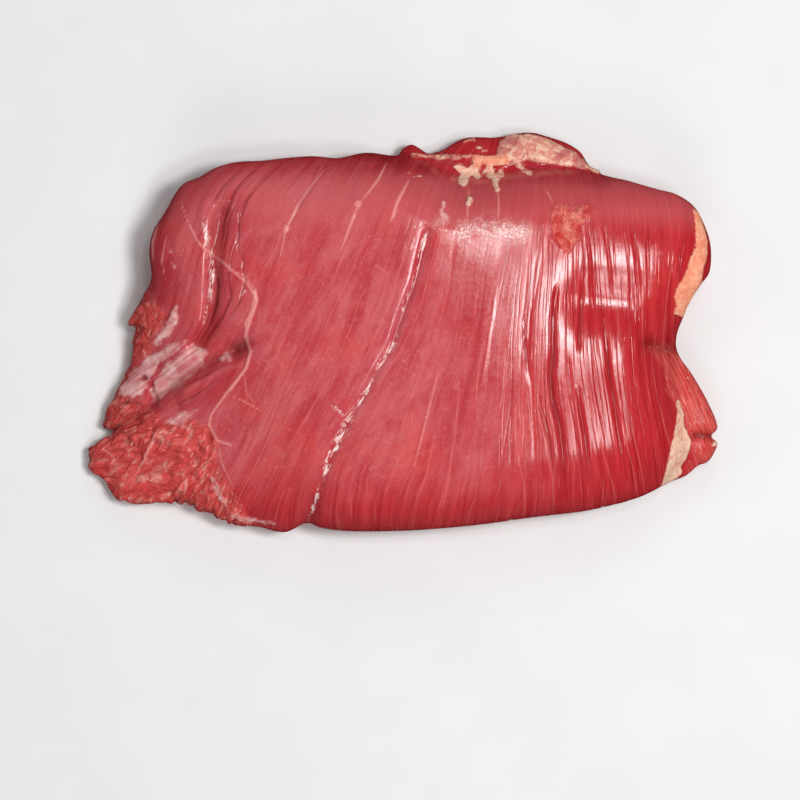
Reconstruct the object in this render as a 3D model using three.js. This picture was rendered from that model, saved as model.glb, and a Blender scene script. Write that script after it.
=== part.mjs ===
// Raw beef flank steak, folded in two, lying on its flat underside.
// Millimetres, +X along the steak's longest side, +Z up, origin under the middle of its plan.
import * as THREE from 'three';

// Driving dimensions
const LENGTH = 209.5;
const WIDTH = 133;
const THICKNESS = 38;

// Resolution of the shell
const COLUMNS = 56;
const ROWS = 34;
const RELAXING_PASSES = 500;
const FINE_STEPS = 12;

// Crown of the folded upper layer, as fall in mm per square mm of plan distance
const CROWN_CENTRE = new THREE.Vector2(8, 4);
const CROWN_LEFT = 0.0012;
const CROWN_RIGHT = 0.0011;
const CROWN_ACROSS = 0.0011;

// Lower layer, which shows where it reaches past the upper one
const LOWER_HEIGHT = 15;
const LEFT_LOBE_HEIGHT = 22;
const LEFT_LOBE_START_X = -50;
const LOWER_FALL_TO_TIP = 0.36;
const TIP_START_X = -72;
const STEP_WIDTH = 17;
const LEFT_STEP_WIDTH = 40;
const STEP_CREASE_DEPTH = 1.6;
const STEP_CREASE_WIDTH = 2.2;

// Sides
const RIM_RADIUS = 12;
const RIM_STEPS = [0.7, 2, 4, 7, 11];
const FOLD_EQUATOR = 0.46;
const LAYERED_EQUATOR = 0.68;
const FOLD_UNDERCUT = 6.5;
const LAYER_CREASE_DEPTH = 4;
const LAYER_CREASE_LEVEL = 0.4;
const LOWER_BULGE_INSET = 0.8;
const SINGLE_LAYER_HEIGHT = 20;
const DOUBLE_LAYER_HEIGHT = 27;
const SIDE_LEVELS = [0.12, 0.24, 0.34, 0.4, 0.47, 0.6, 0.76, 0.9, 1];
const SIDE_SMOOTHING_PASSES = 6;
const CORNER_START = 4;
const CORNER_END = 18;
const FULL_INSET_HEIGHT = 9;

// Plan outline in four stretches, each from the lower left or towards the upper right
const LEFT_EDGE = [
  [-103.5, -45.5], [-103.5, -41], [-104.5, -38.5], [-98.5, -35.5], [-96, -32.5], [-100, -32],
  [-98, -27], [-95, -20], [-90.5, -12.5], [-89, -3.5], [-89, 1.5], [-90.5, 3], [-87.5, 9],
  [-83, 17.5], [-83.5, 27], [-82, 33.5], [-78.5, 39], [-72.5, 48.5],
];
const TOP_EDGE = [
  [-72.5, 48.5], [-67, 51], [-62, 54], [-55.5, 56], [-46, 56.5], [-29.5, 58], [-21, 57.5],
  [-12, 59.5], [-1.5, 59], [0, 61], [3, 62.5], [6, 61], [8.5, 59.5], [13, 60.5], [20.5, 64.5],
  [31.5, 65], [41, 66.5], [47.5, 65.5], [58.5, 60.5], [62, 55.5], [65, 53], [74.5, 50],
  [84.5, 47], [90, 45.5], [96, 41.5],
];
const RIGHT_EDGE = [
  [98, -44.5], [101.5, -43], [104, -39], [104.5, -37], [102.5, -34.5], [104.5, -32],
  [101.5, -23.5], [95.5, -13], [93, -9.5], [91, -5.5], [91, -0.5], [93, 6], [95, 11],
  [98.5, 16], [101, 19.5], [101.5, 28.5], [99, 36.5], [96, 41.5],
];
const BOTTOM_EDGE = [
  [-103.5, -45.5], [-99.5, -48.5], [-97, -53], [-95, -55.5], [-86, -57], [-81.5, -56],
  [-74, -56.5], [-68.5, -58], [-57.5, -63], [-48.5, -64.5], [-39, -66.5], [-31.5, -63.5],
  [-27, -65], [-19, -66], [-1, -66], [13.5, -65], [28, -63.5], [42, -61.5], [62, -59],
  [78, -55], [88.5, -50], [94.5, -47.5], [98, -44.5],
];

// Edge of the upper layer where the lower one shows, closed by points outside the steak
const UPPER_LAYER_EDGE = [
  [-60, 80], [-1.5, 60], [3, 59], [9, 56.5], [17.5, 52.5], [25.5, 52.5], [35.5, 54], [48.5, 55],
  [62, 54.5], [72, 58], [120, 66], [130, 0], [93, -4.5], [91.5, -12.5], [92.5, -22.5],
  [93.5, -31], [95, -39], [92.5, -44.5], [89, -50], [96, -80], [-40, -84], [-50.5, -64],
  [-56.5, -57], [-65, -49], [-70, -39], [-73, -27.5], [-76, -17.5], [-84, -8], [-96, 0],
  [-120, 20], [-110, 70],
];

// Relief cut into or raised on the top, each along a path of plan points
const RELIEF = [
  { name: 'seam across the grain', depth: 1.3, width: 2.6,
    path: [[8, 32], [4, 15.5], [0, 5.5], [-3, -4.5], [-14, -23.5], [-21.5, -36.5], [-31.5, -63]] },
  { name: 'fold at the left', depth: 4.5, width: 4,
    path: [[-59.5, 38.5], [-62, 27], [-62.5, 14], [-63.5, 2], [-68, -4.5]] },
  { name: 'pit where the fold ends', depth: 4, width: 4,
    path: [[-57, -5.5], [-53, -6]] },
  { name: 'cleft under the silver skin', depth: 3, width: 3.4,
    path: [[-55.5, -6], [-65, -10], [-76.5, -13.5], [-81.5, -20], [-83.5, -26], [-97, -33.5]] },
  { name: 'notch in the right end', depth: 4.5, width: 4,
    path: [[91, -5.5], [81.5, -3.5]] },
  { name: 'valley running in from the notch', depth: 2.6, width: 13,
    path: [[88, -5.5], [65, -10]] },
  { name: 'slit in the lower right corner', depth: 3, width: 2.2,
    path: [[104, -34.5], [97, -34]] },
  { name: 'groove along the grain, left', depth: 1.1, width: 2.2,
    path: [[50.5, 13], [49, -6], [48.5, -17.5], [52.5, -33], [53.5, -55.5]] },
  { name: 'groove along the grain, middle', depth: 0.8, width: 2,
    path: [[58, 4], [59, -4.5], [61, -49]] },
  { name: 'groove along the grain, right', depth: 1.1, width: 2.2,
    path: [[66.5, -3], [68, -18], [70, -29], [72, -38.5]] },
  { name: 'fat strip on the upper right end', depth: -1.2, width: 3,
    path: [[97, 34], [98.5, 25], [95.5, 14], [90, 9]] },
  { name: 'tendon strand', depth: -0.9, width: 1.8,
    path: [[-66, 35], [-60, 23], [-48, 13.5], [-50.5, 2], [-52, -6], [-63, -27.5], [-56, -38]] },
];

// Lumps of torn meat at the left and of fat on the flap at the top
const LUMPS = [
  { name: 'torn meat', height: 1.6, wave: [11, 9], centre: [-84, -38], reach: [26, 22] },
  { name: 'torn meat above the cleft', height: 1.2, wave: [8, 7], centre: [-86, 0], reach: [9, 18] },
  { name: 'fat on the flap', height: 1.3, wave: [9, 6], centre: [38, 60], reach: [24, 8] },
];

// Distance from a plan point to a path or, closed, to an outline
function distanceToPath(x, y, path, closed = false) {
  let nearest = Infinity;
  const last = closed ? path.length : path.length - 1;
  for (let i = 0; i < last; i += 1) {
    const [ax, ay] = path[i];
    const [bx, by] = path[(i + 1) % path.length];
    const dx = bx - ax;
    const dy = by - ay;
    const along = ((x - ax) * dx + (y - ay) * dy) / (dx * dx + dy * dy);
    const share = THREE.MathUtils.clamp(along, 0, 1);
    nearest = Math.min(nearest, Math.hypot(x - ax - share * dx, y - ay - share * dy));
  }
  return nearest;
}

// True where a plan point lies inside a closed outline
function isInside(x, y, outline) {
  let inside = false;
  for (let i = 0; i < outline.length; i += 1) {
    const [ax, ay] = outline[i];
    const [bx, by] = outline[(i + 1) % outline.length];
    const crosses = (ay > y) !== (by > y);
    if (crosses && x < ax + ((y - ay) / (by - ay)) * (bx - ax)) inside = !inside;
  }
  return inside;
}

// Even stations along the closed outline curve between two of its given points
function stretchPoints(curve, first, last, count) {
  const given = curve.points.length;
  const fine = [];
  for (let i = 0; i <= (last - first) * FINE_STEPS; i += 1) {
    fine.push(curve.getPoint((first + i / FINE_STEPS) / given));
  }
  const path = new THREE.CurvePath();
  for (let i = 1; i < fine.length; i += 1) path.add(new THREE.LineCurve3(fine[i - 1], fine[i]));
  return Array.from({ length: count + 1 }, (_, i) => {
    const point = path.getPoint(i / count);
    return [point.x, point.y];
  });
}

// Outline's left, right, bottom and top stretches, scaled to the driving length and width
function scaledStretches() {
  const loop = [...BOTTOM_EDGE, ...RIGHT_EDGE.slice(1), ...TOP_EDGE.toReversed().slice(1)];
  loop.push(...LEFT_EDGE.toReversed().slice(1, -1));
  const vectors = loop.map(([x, y]) => new THREE.Vector3(x, y, 0));
  const curve = new THREE.CatmullRomCurve3(vectors, true, 'centripetal');
  const lowerRight = BOTTOM_EDGE.length - 1;
  const upperRight = lowerRight + RIGHT_EDGE.length - 1;
  const upperLeft = upperRight + TOP_EDGE.length - 1;
  const raw = [
    stretchPoints(curve, upperLeft, loop.length, ROWS).toReversed(),
    stretchPoints(curve, lowerRight, upperRight, ROWS),
    stretchPoints(curve, 0, lowerRight, COLUMNS),
    stretchPoints(curve, upperRight, upperLeft, COLUMNS).toReversed(),
  ];
  const box = new THREE.Box2();
  raw.flat().forEach(([x, y]) => box.expandByPoint(new THREE.Vector2(x, y)));
  const size = box.getSize(new THREE.Vector2());
  const centre = box.getCenter(new THREE.Vector2());
  const scale = ([x, y]) => [
    ((x - centre.x) * LENGTH) / size.x,
    ((y - centre.y) * WIDTH) / size.y,
  ];
  return raw.map((points) => points.map(scale));
}

// Plan lattice inside the outline, relaxed until its cells are even and none folds over
function planLattice([left, right, bottom, top]) {
  const lattice = [];
  for (let i = 0; i <= COLUMNS; i += 1) {
    const p = i / COLUMNS;
    lattice.push([]);
    for (let j = 0; j <= ROWS; j += 1) {
      const q = j / ROWS;
      lattice[i].push([0, 1].map((axis) => (
        (1 - p) * left[j][axis] + p * right[j][axis]
        + (1 - q) * bottom[i][axis] + q * top[i][axis]
        - (1 - p) * (1 - q) * bottom[0][axis] - p * (1 - q) * bottom[COLUMNS][axis]
        - (1 - p) * q * top[0][axis] - p * q * top[COLUMNS][axis]
      )));
    }
  }
  for (let pass = 0; pass < RELAXING_PASSES; pass += 1) {
    for (let i = 1; i < COLUMNS; i += 1) {
      for (let j = 1; j < ROWS; j += 1) relaxNode(lattice, i, j);
    }
  }
  return lattice;
}

// One step of the elliptic grid rule at one node of the lattice
function relaxNode(lattice, i, j) {
  const west = lattice[i - 1][j];
  const east = lattice[i + 1][j];
  const south = lattice[i][j - 1];
  const north = lattice[i][j + 1];
  const across = [(east[0] - west[0]) / 2, (east[1] - west[1]) / 2];
  const up = [(north[0] - south[0]) / 2, (north[1] - south[1]) / 2];
  const alpha = up[0] ** 2 + up[1] ** 2;
  const beta = across[0] * up[0] + across[1] * up[1];
  const gamma = across[0] ** 2 + across[1] ** 2;
  for (let axis = 0; axis < 2; axis += 1) {
    const twist = (lattice[i + 1][j + 1][axis] - lattice[i - 1][j + 1][axis]
      - lattice[i + 1][j - 1][axis] + lattice[i - 1][j - 1][axis]) / 4;
    const sum = alpha * (west[axis] + east[axis]) + gamma * (south[axis] + north[axis]);
    lattice[i][j][axis] = (sum - 2 * beta * twist) / (2 * (alpha + gamma));
  }
}

// Plan point at a share p of the length and q of the width, read off the lattice
function planPoint(lattice, p, q) {
  const u = THREE.MathUtils.clamp(p, 0, 1) * COLUMNS;
  const v = THREE.MathUtils.clamp(q, 0, 1) * ROWS;
  const i = Math.min(Math.floor(u), COLUMNS - 1);
  const j = Math.min(Math.floor(v), ROWS - 1);
  return [0, 1].map((axis) => THREE.MathUtils.lerp(
    THREE.MathUtils.lerp(lattice[i][j][axis], lattice[i + 1][j][axis], u - i),
    THREE.MathUtils.lerp(lattice[i][j + 1][axis], lattice[i + 1][j + 1][axis], u - i),
    v - j,
  ));
}

// Shares from 0 to 1 that crowd towards both ends, where the rim turns down
function crowdedShares(count, span) {
  const rim = RIM_STEPS.map((step) => step / span);
  const evenCount = count - 2 * rim.length;
  const start = rim[rim.length - 1];
  const shares = [0, ...rim];
  for (let i = 1; i < evenCount; i += 1) shares.push(start + ((1 - 2 * start) * i) / evenCount);
  rim.toReversed().forEach((share) => shares.push(1 - share));
  shares.push(1);
  return shares;
}

// Height of the full body over a plan point, before the rim turns down
function bodyHeight(x, y) {
  const fromCentreX = x - CROWN_CENTRE.x;
  const fromCentreY = y - CROWN_CENTRE.y;
  const crownX = fromCentreX < 0 ? CROWN_LEFT : CROWN_RIGHT;
  const upper = THICKNESS - crownX * fromCentreX ** 2 - CROWN_ACROSS * fromCentreY ** 2;
  const leftward = THREE.MathUtils.smoothstep(-x, 0, -LEFT_LOBE_START_X);
  const lower = THREE.MathUtils.lerp(LOWER_HEIGHT, LEFT_LOBE_HEIGHT, leftward)
    - LOWER_FALL_TO_TIP * Math.max(0, TIP_START_X - x);
  const edge = distanceToPath(x, y, UPPER_LAYER_EDGE, true);
  const width = THREE.MathUtils.lerp(STEP_WIDTH, LEFT_STEP_WIDTH, leftward);
  const rise = isInside(x, y, UPPER_LAYER_EDGE) ? Math.min(1, edge / width) : 0;
  const step = Math.sin((Math.PI / 2) * rise);
  const crease = STEP_CREASE_DEPTH * (1 - leftward) * Math.exp(-((edge / STEP_CREASE_WIDTH) ** 2));
  return lower + (upper - lower) * step - crease;
}

// Height that relief and lumps add over a plan point
function reliefHeight(x, y) {
  let height = 0;
  RELIEF.forEach(({ depth, width, path }) => {
    height -= depth * Math.exp(-((distanceToPath(x, y, path) / width) ** 2));
  });
  LUMPS.forEach(({ height: tall, wave, centre, reach }) => {
    const fade = Math.exp(-(((x - centre[0]) / reach[0]) ** 2 + ((y - centre[1]) / reach[1]) ** 2));
    const waveX = Math.sin((2 * Math.PI * (x + 0.4 * y)) / wave[0]);
    const waveY = Math.cos((2 * Math.PI * (y - 0.3 * x)) / wave[1]);
    height += tall * fade * waveX * waveY;
  });
  return height;
}

// Share of the two-layer look at a place on the rim: 0 on the fold and where one layer shows
function layering(height, onFold) {
  if (onFold) return 0;
  return THREE.MathUtils.smoothstep(height, SINGLE_LAYER_HEIGHT, DOUBLE_LAYER_HEIGHT);
}

// Inset of the side at a share t of the way down from the rim to the underside
function sideInset(t, layered) {
  const fold = FOLD_UNDERCUT * (1 - Math.sqrt(1 - t * t));
  let layers;
  if (t < LAYER_CREASE_LEVEL) {
    const arc = t / LAYER_CREASE_LEVEL;
    layers = LAYER_CREASE_DEPTH * (1 - Math.sqrt(1 - arc * arc));
  } else {
    const half = (1 - LAYER_CREASE_LEVEL) / 2;
    const arc = (t - LAYER_CREASE_LEVEL - half) / half;
    const bulge = LAYER_CREASE_DEPTH - LOWER_BULGE_INSET;
    layers = LOWER_BULGE_INSET + bulge * (1 - Math.sqrt(Math.max(0, 1 - arc * arc)));
  }
  return THREE.MathUtils.lerp(fold, layers, layered);
}

// Stations round the rim: the shares p and q, and whether the fold runs there
function rimStations(sharesP, sharesQ) {
  const stations = [];
  for (let i = 0; i < COLUMNS; i += 1) stations.push([sharesP[i], 0, i, 0]);
  for (let j = 0; j < ROWS; j += 1) stations.push([1, sharesQ[j], COLUMNS, j]);
  for (let i = COLUMNS; i > 0; i -= 1) stations.push([sharesP[i], 1, i, ROWS]);
  for (let j = ROWS; j > 0; j -= 1) stations.push([0, sharesQ[j], 0, j]);
  return stations;
}

// Share of a lattice corner's pull at a rim station: 1 at the corner, 0 away from it
function cornerShare(p, q) {
  const alongX = Math.min(p, 1 - p) * LENGTH;
  const alongY = Math.min(q, 1 - q) * WIDTH;
  return 1 - THREE.MathUtils.smoothstep(Math.max(alongX, alongY), CORNER_START, CORNER_END);
}

// Rim station moved inward by an inset: along the lattice, and square to the rim at the corners
function insetPoint(lattice, rim, stations, k, inset) {
  const [p, q] = stations[k];
  const before = rim[(k + rim.length - 1) % rim.length];
  const after = rim[(k + 1) % rim.length];
  const run = Math.hypot(after[0] - before[0], after[1] - before[1]);
  const squareX = rim[k][0] - ((after[1] - before[1]) / run) * inset;
  const squareY = rim[k][1] + ((after[0] - before[0]) / run) * inset;
  const [latticeX, latticeY] = planPoint(
    lattice,
    inset / LENGTH + p * (1 - (2 * inset) / LENGTH),
    inset / WIDTH + q * (1 - (2 * inset) / WIDTH),
  );
  const corner = cornerShare(p, q);
  return [
    THREE.MathUtils.lerp(latticeX, squareX, corner),
    THREE.MathUtils.lerp(latticeY, squareY, corner),
  ];
}

// Ring of plan points with each drawn towards its neighbours, a number of times over
function smoothedRing(ring, passes) {
  let smooth = ring;
  for (let pass = 0; pass < passes; pass += 1) {
    smooth = smooth.map(([x, y], k) => {
      const before = smooth[(k + smooth.length - 1) % smooth.length];
      const after = smooth[(k + 1) % smooth.length];
      return [(before[0] + 2 * x + after[0]) / 4, (before[1] + 2 * y + after[1]) / 4];
    });
  }
  return smooth;
}

// Closed shell of the whole steak
function steakGeometry() {
  const stretches = scaledStretches();
  const lattice = planLattice(stretches);
  const [left, right, bottom, top] = stretches;
  const outline = [...bottom, ...right.slice(1), ...top.toReversed().slice(1)];
  outline.push(...left.toReversed().slice(1, -1));
  const sharesP = crowdedShares(COLUMNS, LENGTH);
  const sharesQ = crowdedShares(ROWS, WIDTH);
  const positions = [];
  const triangles = [];
  const quad = (a, b, c, d) => triangles.push(a, b, c, a, c, d);

  // Top, from one side of the rim to the other
  const topIndex = (i, j) => i * (ROWS + 1) + j;
  const rimHeight = (x, y, onFold) => {
    const body = bodyHeight(x, y);
    const layered = layering(body, onFold);
    return body * THREE.MathUtils.lerp(FOLD_EQUATOR, LAYERED_EQUATOR, layered);
  };
  sharesP.forEach((p, i) => sharesQ.forEach((q, j) => {
    const [x, y] = planPoint(lattice, p, q);
    const onRim = i === 0 || j === 0 || i === COLUMNS || j === ROWS;
    const inward = onRim ? 0 : Math.min(1, distanceToPath(x, y, outline, true) / RIM_RADIUS);
    const round = Math.sqrt(1 - (1 - inward) ** 2);
    const low = rimHeight(x, y, q < 0.5);
    const high = bodyHeight(x, y) + reliefHeight(x, y);
    positions.push(x, y, low + (high - low) * round);
  }));
  for (let i = 0; i < COLUMNS; i += 1) {
    for (let j = 0; j < ROWS; j += 1) {
      quad(topIndex(i, j), topIndex(i + 1, j), topIndex(i + 1, j + 1), topIndex(i, j + 1));
    }
  }

  // Sides, ring by ring from the rim down to the underside
  const stations = rimStations(sharesP, sharesQ);
  const rim = stations.map(([p, q]) => planPoint(lattice, p, q));
  let upperRing = stations.map(([, , i, j]) => topIndex(i, j));
  SIDE_LEVELS.forEach((t) => {
    const plan = stations.map(([, , i, j], k) => {
      const thinness = Math.min(1, positions[3 * topIndex(i, j) + 2] / FULL_INSET_HEIGHT);
      const inset = thinness * sideInset(t, layering(bodyHeight(...rim[k]), j === 0));
      return insetPoint(lattice, rim, stations, k, inset);
    });
    const passes = Math.round(t * SIDE_SMOOTHING_PASSES);
    const ring = smoothedRing(plan, passes).map(([x, y], k) => {
      const [, , i, j] = stations[k];
      positions.push(x, y, positions[3 * topIndex(i, j) + 2] * (1 - t));
      return positions.length / 3 - 1;
    });
    ring.forEach((corner, k) => {
      const next = (k + 1) % ring.length;
      quad(corner, ring[next], upperRing[next], upperRing[k]);
    });
    upperRing = ring;
  });

  // Flat underside
  const footprint = upperRing.map((k) => new THREE.Vector2(positions[3 * k], positions[3 * k + 1]));
  THREE.ShapeUtils.triangulateShape(footprint, []).forEach(([a, b, c]) => {
    triangles.push(upperRing[a], upperRing[c], upperRing[b]);
  });

  const geometry = new THREE.BufferGeometry();
  geometry.setAttribute('position', new THREE.Float32BufferAttribute(positions, 3));
  geometry.setIndex(triangles);
  geometry.computeVertexNormals();
  return geometry;
}

const rawBeef = new THREE.MeshStandardMaterial({ color: 0xbf484c, roughness: 0.35, metalness: 0 });
const steak = new THREE.Mesh(steakGeometry(), rawBeef);
steak.name = 'flank_steak';

const group = new THREE.Group();
group.add(steak);
export default group;
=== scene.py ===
"""Looks of the raw beef flank steak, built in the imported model's own frame.

The steak is one closed skin, fine enough for its fibres, over the same plan outline and heights
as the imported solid. Marks such as fat, silver skin and torn meat are fields of distance kept at
its vertices, and the material sharpens them with fine noise.
"""

import functools
import logging
import math
from dataclasses import dataclass, field
from enum import Enum

import bpy
import numpy as np
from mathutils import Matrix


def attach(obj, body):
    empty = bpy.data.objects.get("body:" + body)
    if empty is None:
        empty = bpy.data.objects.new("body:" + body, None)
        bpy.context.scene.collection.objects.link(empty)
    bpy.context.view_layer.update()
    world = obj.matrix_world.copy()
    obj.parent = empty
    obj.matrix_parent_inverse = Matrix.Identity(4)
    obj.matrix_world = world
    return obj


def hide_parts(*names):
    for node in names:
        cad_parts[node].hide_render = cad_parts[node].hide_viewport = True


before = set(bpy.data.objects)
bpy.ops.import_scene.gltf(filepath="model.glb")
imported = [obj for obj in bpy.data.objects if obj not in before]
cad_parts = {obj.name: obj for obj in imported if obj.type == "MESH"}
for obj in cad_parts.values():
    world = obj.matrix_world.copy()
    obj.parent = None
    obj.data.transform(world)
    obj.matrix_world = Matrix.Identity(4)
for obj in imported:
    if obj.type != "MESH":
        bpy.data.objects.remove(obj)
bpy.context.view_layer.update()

LOG = logging.getLogger("flank_steak")

# Photograph to steak: size of a pixel in mm, and the pixel over the origin
PIXEL_MM = 0.33
ORIGIN_PIXEL = (402.5, 331.75)
MM = 0.001

Points = np.ndarray
Field = np.ndarray
Socket = bpy.types.NodeSocket


def at(*pixels: tuple[float, float]) -> Points:
    """Turn pixels of the photograph into places on the steak.

    Args:
        pixels: Column and row of each landmark in the 800 by 800 photograph.

    Returns:
        One row of x and y in millimetres for each landmark.
    """
    given = np.array(pixels, float)
    return (given - ORIGIN_PIXEL) * (PIXEL_MM, -PIXEL_MM)


def smoothstep(value: Field, low: float, high: float) -> Field:
    """Ease from 0 at low to 1 at high.

    Args:
        value: Numbers to ease.
        low: Where the result starts to leave 0.
        high: Where the result reaches 1.

    Returns:
        Numbers from 0 to 1.
    """
    share = np.clip((value - low) / (high - low), 0, 1)
    return share * share * (3 - 2 * share)


def path_distance(plan: Points, path: Points, closed: bool = False) -> Field:
    """Measure how far plan points lie from a path.

    Args:
        plan: Plan points.
        path: Points of the path.
        closed: Whether the path runs back to its first point.

    Returns:
        One distance for each plan point.
    """
    nearest = np.full(len(plan), np.inf)
    ends = np.roll(path, -1, axis=0) if closed else path[1:]
    for start, end in zip(path, ends):
        run = end - start
        share = np.clip((plan - start) @ run / max(run @ run, 1e-9), 0, 1)
        gap = plan - start - share[:, None] * run
        nearest = np.minimum(nearest, np.hypot(gap[:, 0], gap[:, 1]))
    return nearest


def path_place(plan: Points, path: Points) -> tuple[Field, Field]:
    """Measure plan points against a path.

    Args:
        plan: Plan points.
        path: Points of the path.

    Returns:
        Each point's distance from the path, and how far along the path it lies, from 0 to 1.
    """
    nearest = np.full(len(plan), np.inf)
    place = np.zeros(len(plan))
    runs = np.hypot(*np.diff(path, axis=0).T)
    begun = 0.0
    for start, end, length in zip(path, path[1:], runs):
        run = end - start
        share = np.clip((plan - start) @ run / max(length**2, 1e-9), 0, 1)
        gap = plan - start - share[:, None] * run
        distance = np.hypot(gap[:, 0], gap[:, 1])
        closer = distance < nearest
        nearest[closer] = distance[closer]
        place[closer] = (begun + share[closer] * length) / runs.sum()
        begun += length
    return nearest, place


def inside(plan: Points, outline: Points) -> np.ndarray:
    """Tell which plan points lie inside a closed outline.

    Args:
        plan: Plan points.
        outline: Points of the outline.

    Returns:
        True for each point inside.
    """
    result = np.zeros(len(plan), bool)
    x, y = plan.T
    for start, end in zip(outline, np.roll(outline, -1, axis=0)):
        rise = end[1] - start[1]
        if rise == 0:
            continue
        crosses = (start[1] > y) != (end[1] > y)
        result ^= crosses & (x < start[0] + (y - start[1]) / rise * (end[0] - start[0]))
    return result


@dataclass(frozen=True)
class Grain:
    """Seeded smooth noise over a plane, from 0 to 1."""

    seed: int

    def value(self, x: Field, y: Field) -> Field:
        """Read the noise, one lump to a unit.

        Args:
            x: First coordinates.
            y: Second coordinates.

        Returns:
            One number from 0 to 1 for each place.
        """
        cell_x, cell_y = np.floor(x), np.floor(y)
        share_x, share_y = x - cell_x, y - cell_y
        share_x = share_x**3 * (share_x * (6 * share_x - 15) + 10)
        share_y = share_y**3 * (share_y * (6 * share_y - 15) + 10)
        corners = [
            self._hash(cell_x + i, cell_y + j) for j in (0, 1) for i in (0, 1)
        ]
        low = corners[0] + (corners[1] - corners[0]) * share_x
        high = corners[2] + (corners[3] - corners[2]) * share_x
        return low + (high - low) * share_y

    def layered(self, x: Field, y: Field, layers: int = 3) -> Field:
        """Add finer and weaker layers of the noise.

        Args:
            x: First coordinates.
            y: Second coordinates.
            layers: How many layers to add.

        Returns:
            One number from 0 to 1 for each place.
        """
        total = np.zeros_like(x)
        weight = 0.0
        for layer in range(layers):
            scale = 2.03**layer
            total += self.value(x * scale + 17.3 * layer, y * scale - 9.1 * layer) / scale
            weight += 1 / scale
        return total / weight

    def lines(self, across: Field, along: Field, spacing: float, run: float,
              width: float, share: float) -> Field:
        """Draw thin lines that follow the fibres and come and go.

        Args:
            across: Millimetres across the fibres.
            along: Millimetres along them.
            spacing: Mean gap between lines.
            run: Mean length of a line.
            width: Half width of a line.
            share: Share of each line's run that shows.

        Returns:
            1 in the middle of a line, 0 between lines.
        """
        wander = 1.6 * (self.value(across / spacing / 4, along / run / 2) - 0.5)
        phase = across / spacing + wander
        cell = np.floor(phase)
        middle = 0.5 + 0.6 * (self._hash(cell, cell * 0) - 0.5)
        distance = np.abs(phase - cell - middle) * spacing
        presence = self.value(cell * 3.7, along / run + self._hash(cell, cell * 0 + 1) * 9)
        shown = smoothstep(presence, 0.9 - share, 1.2 - share)
        return shown * np.exp(-((distance / width) ** 2))

    def _hash(self, cell_x: Field, cell_y: Field) -> Field:
        """Scatter whole-number cells to numbers from 0 to 1."""
        mixed = cell_x.astype(np.int64) * 374761393 + cell_y.astype(np.int64) * 668265263
        mixed = (mixed + self.seed * 1442695041) & 0xFFFFFFFF
        mixed = ((mixed ^ (mixed >> 13)) * 1274126177) & 0xFFFFFFFF
        return ((mixed ^ (mixed >> 16)) & 0xFFFF) / 65535.0


class Side(Enum):
    """The four stretches of the plan outline."""

    BOTTOM = "bottom"
    RIGHT = "right"
    TOP = "top"
    LEFT = "left"


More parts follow.
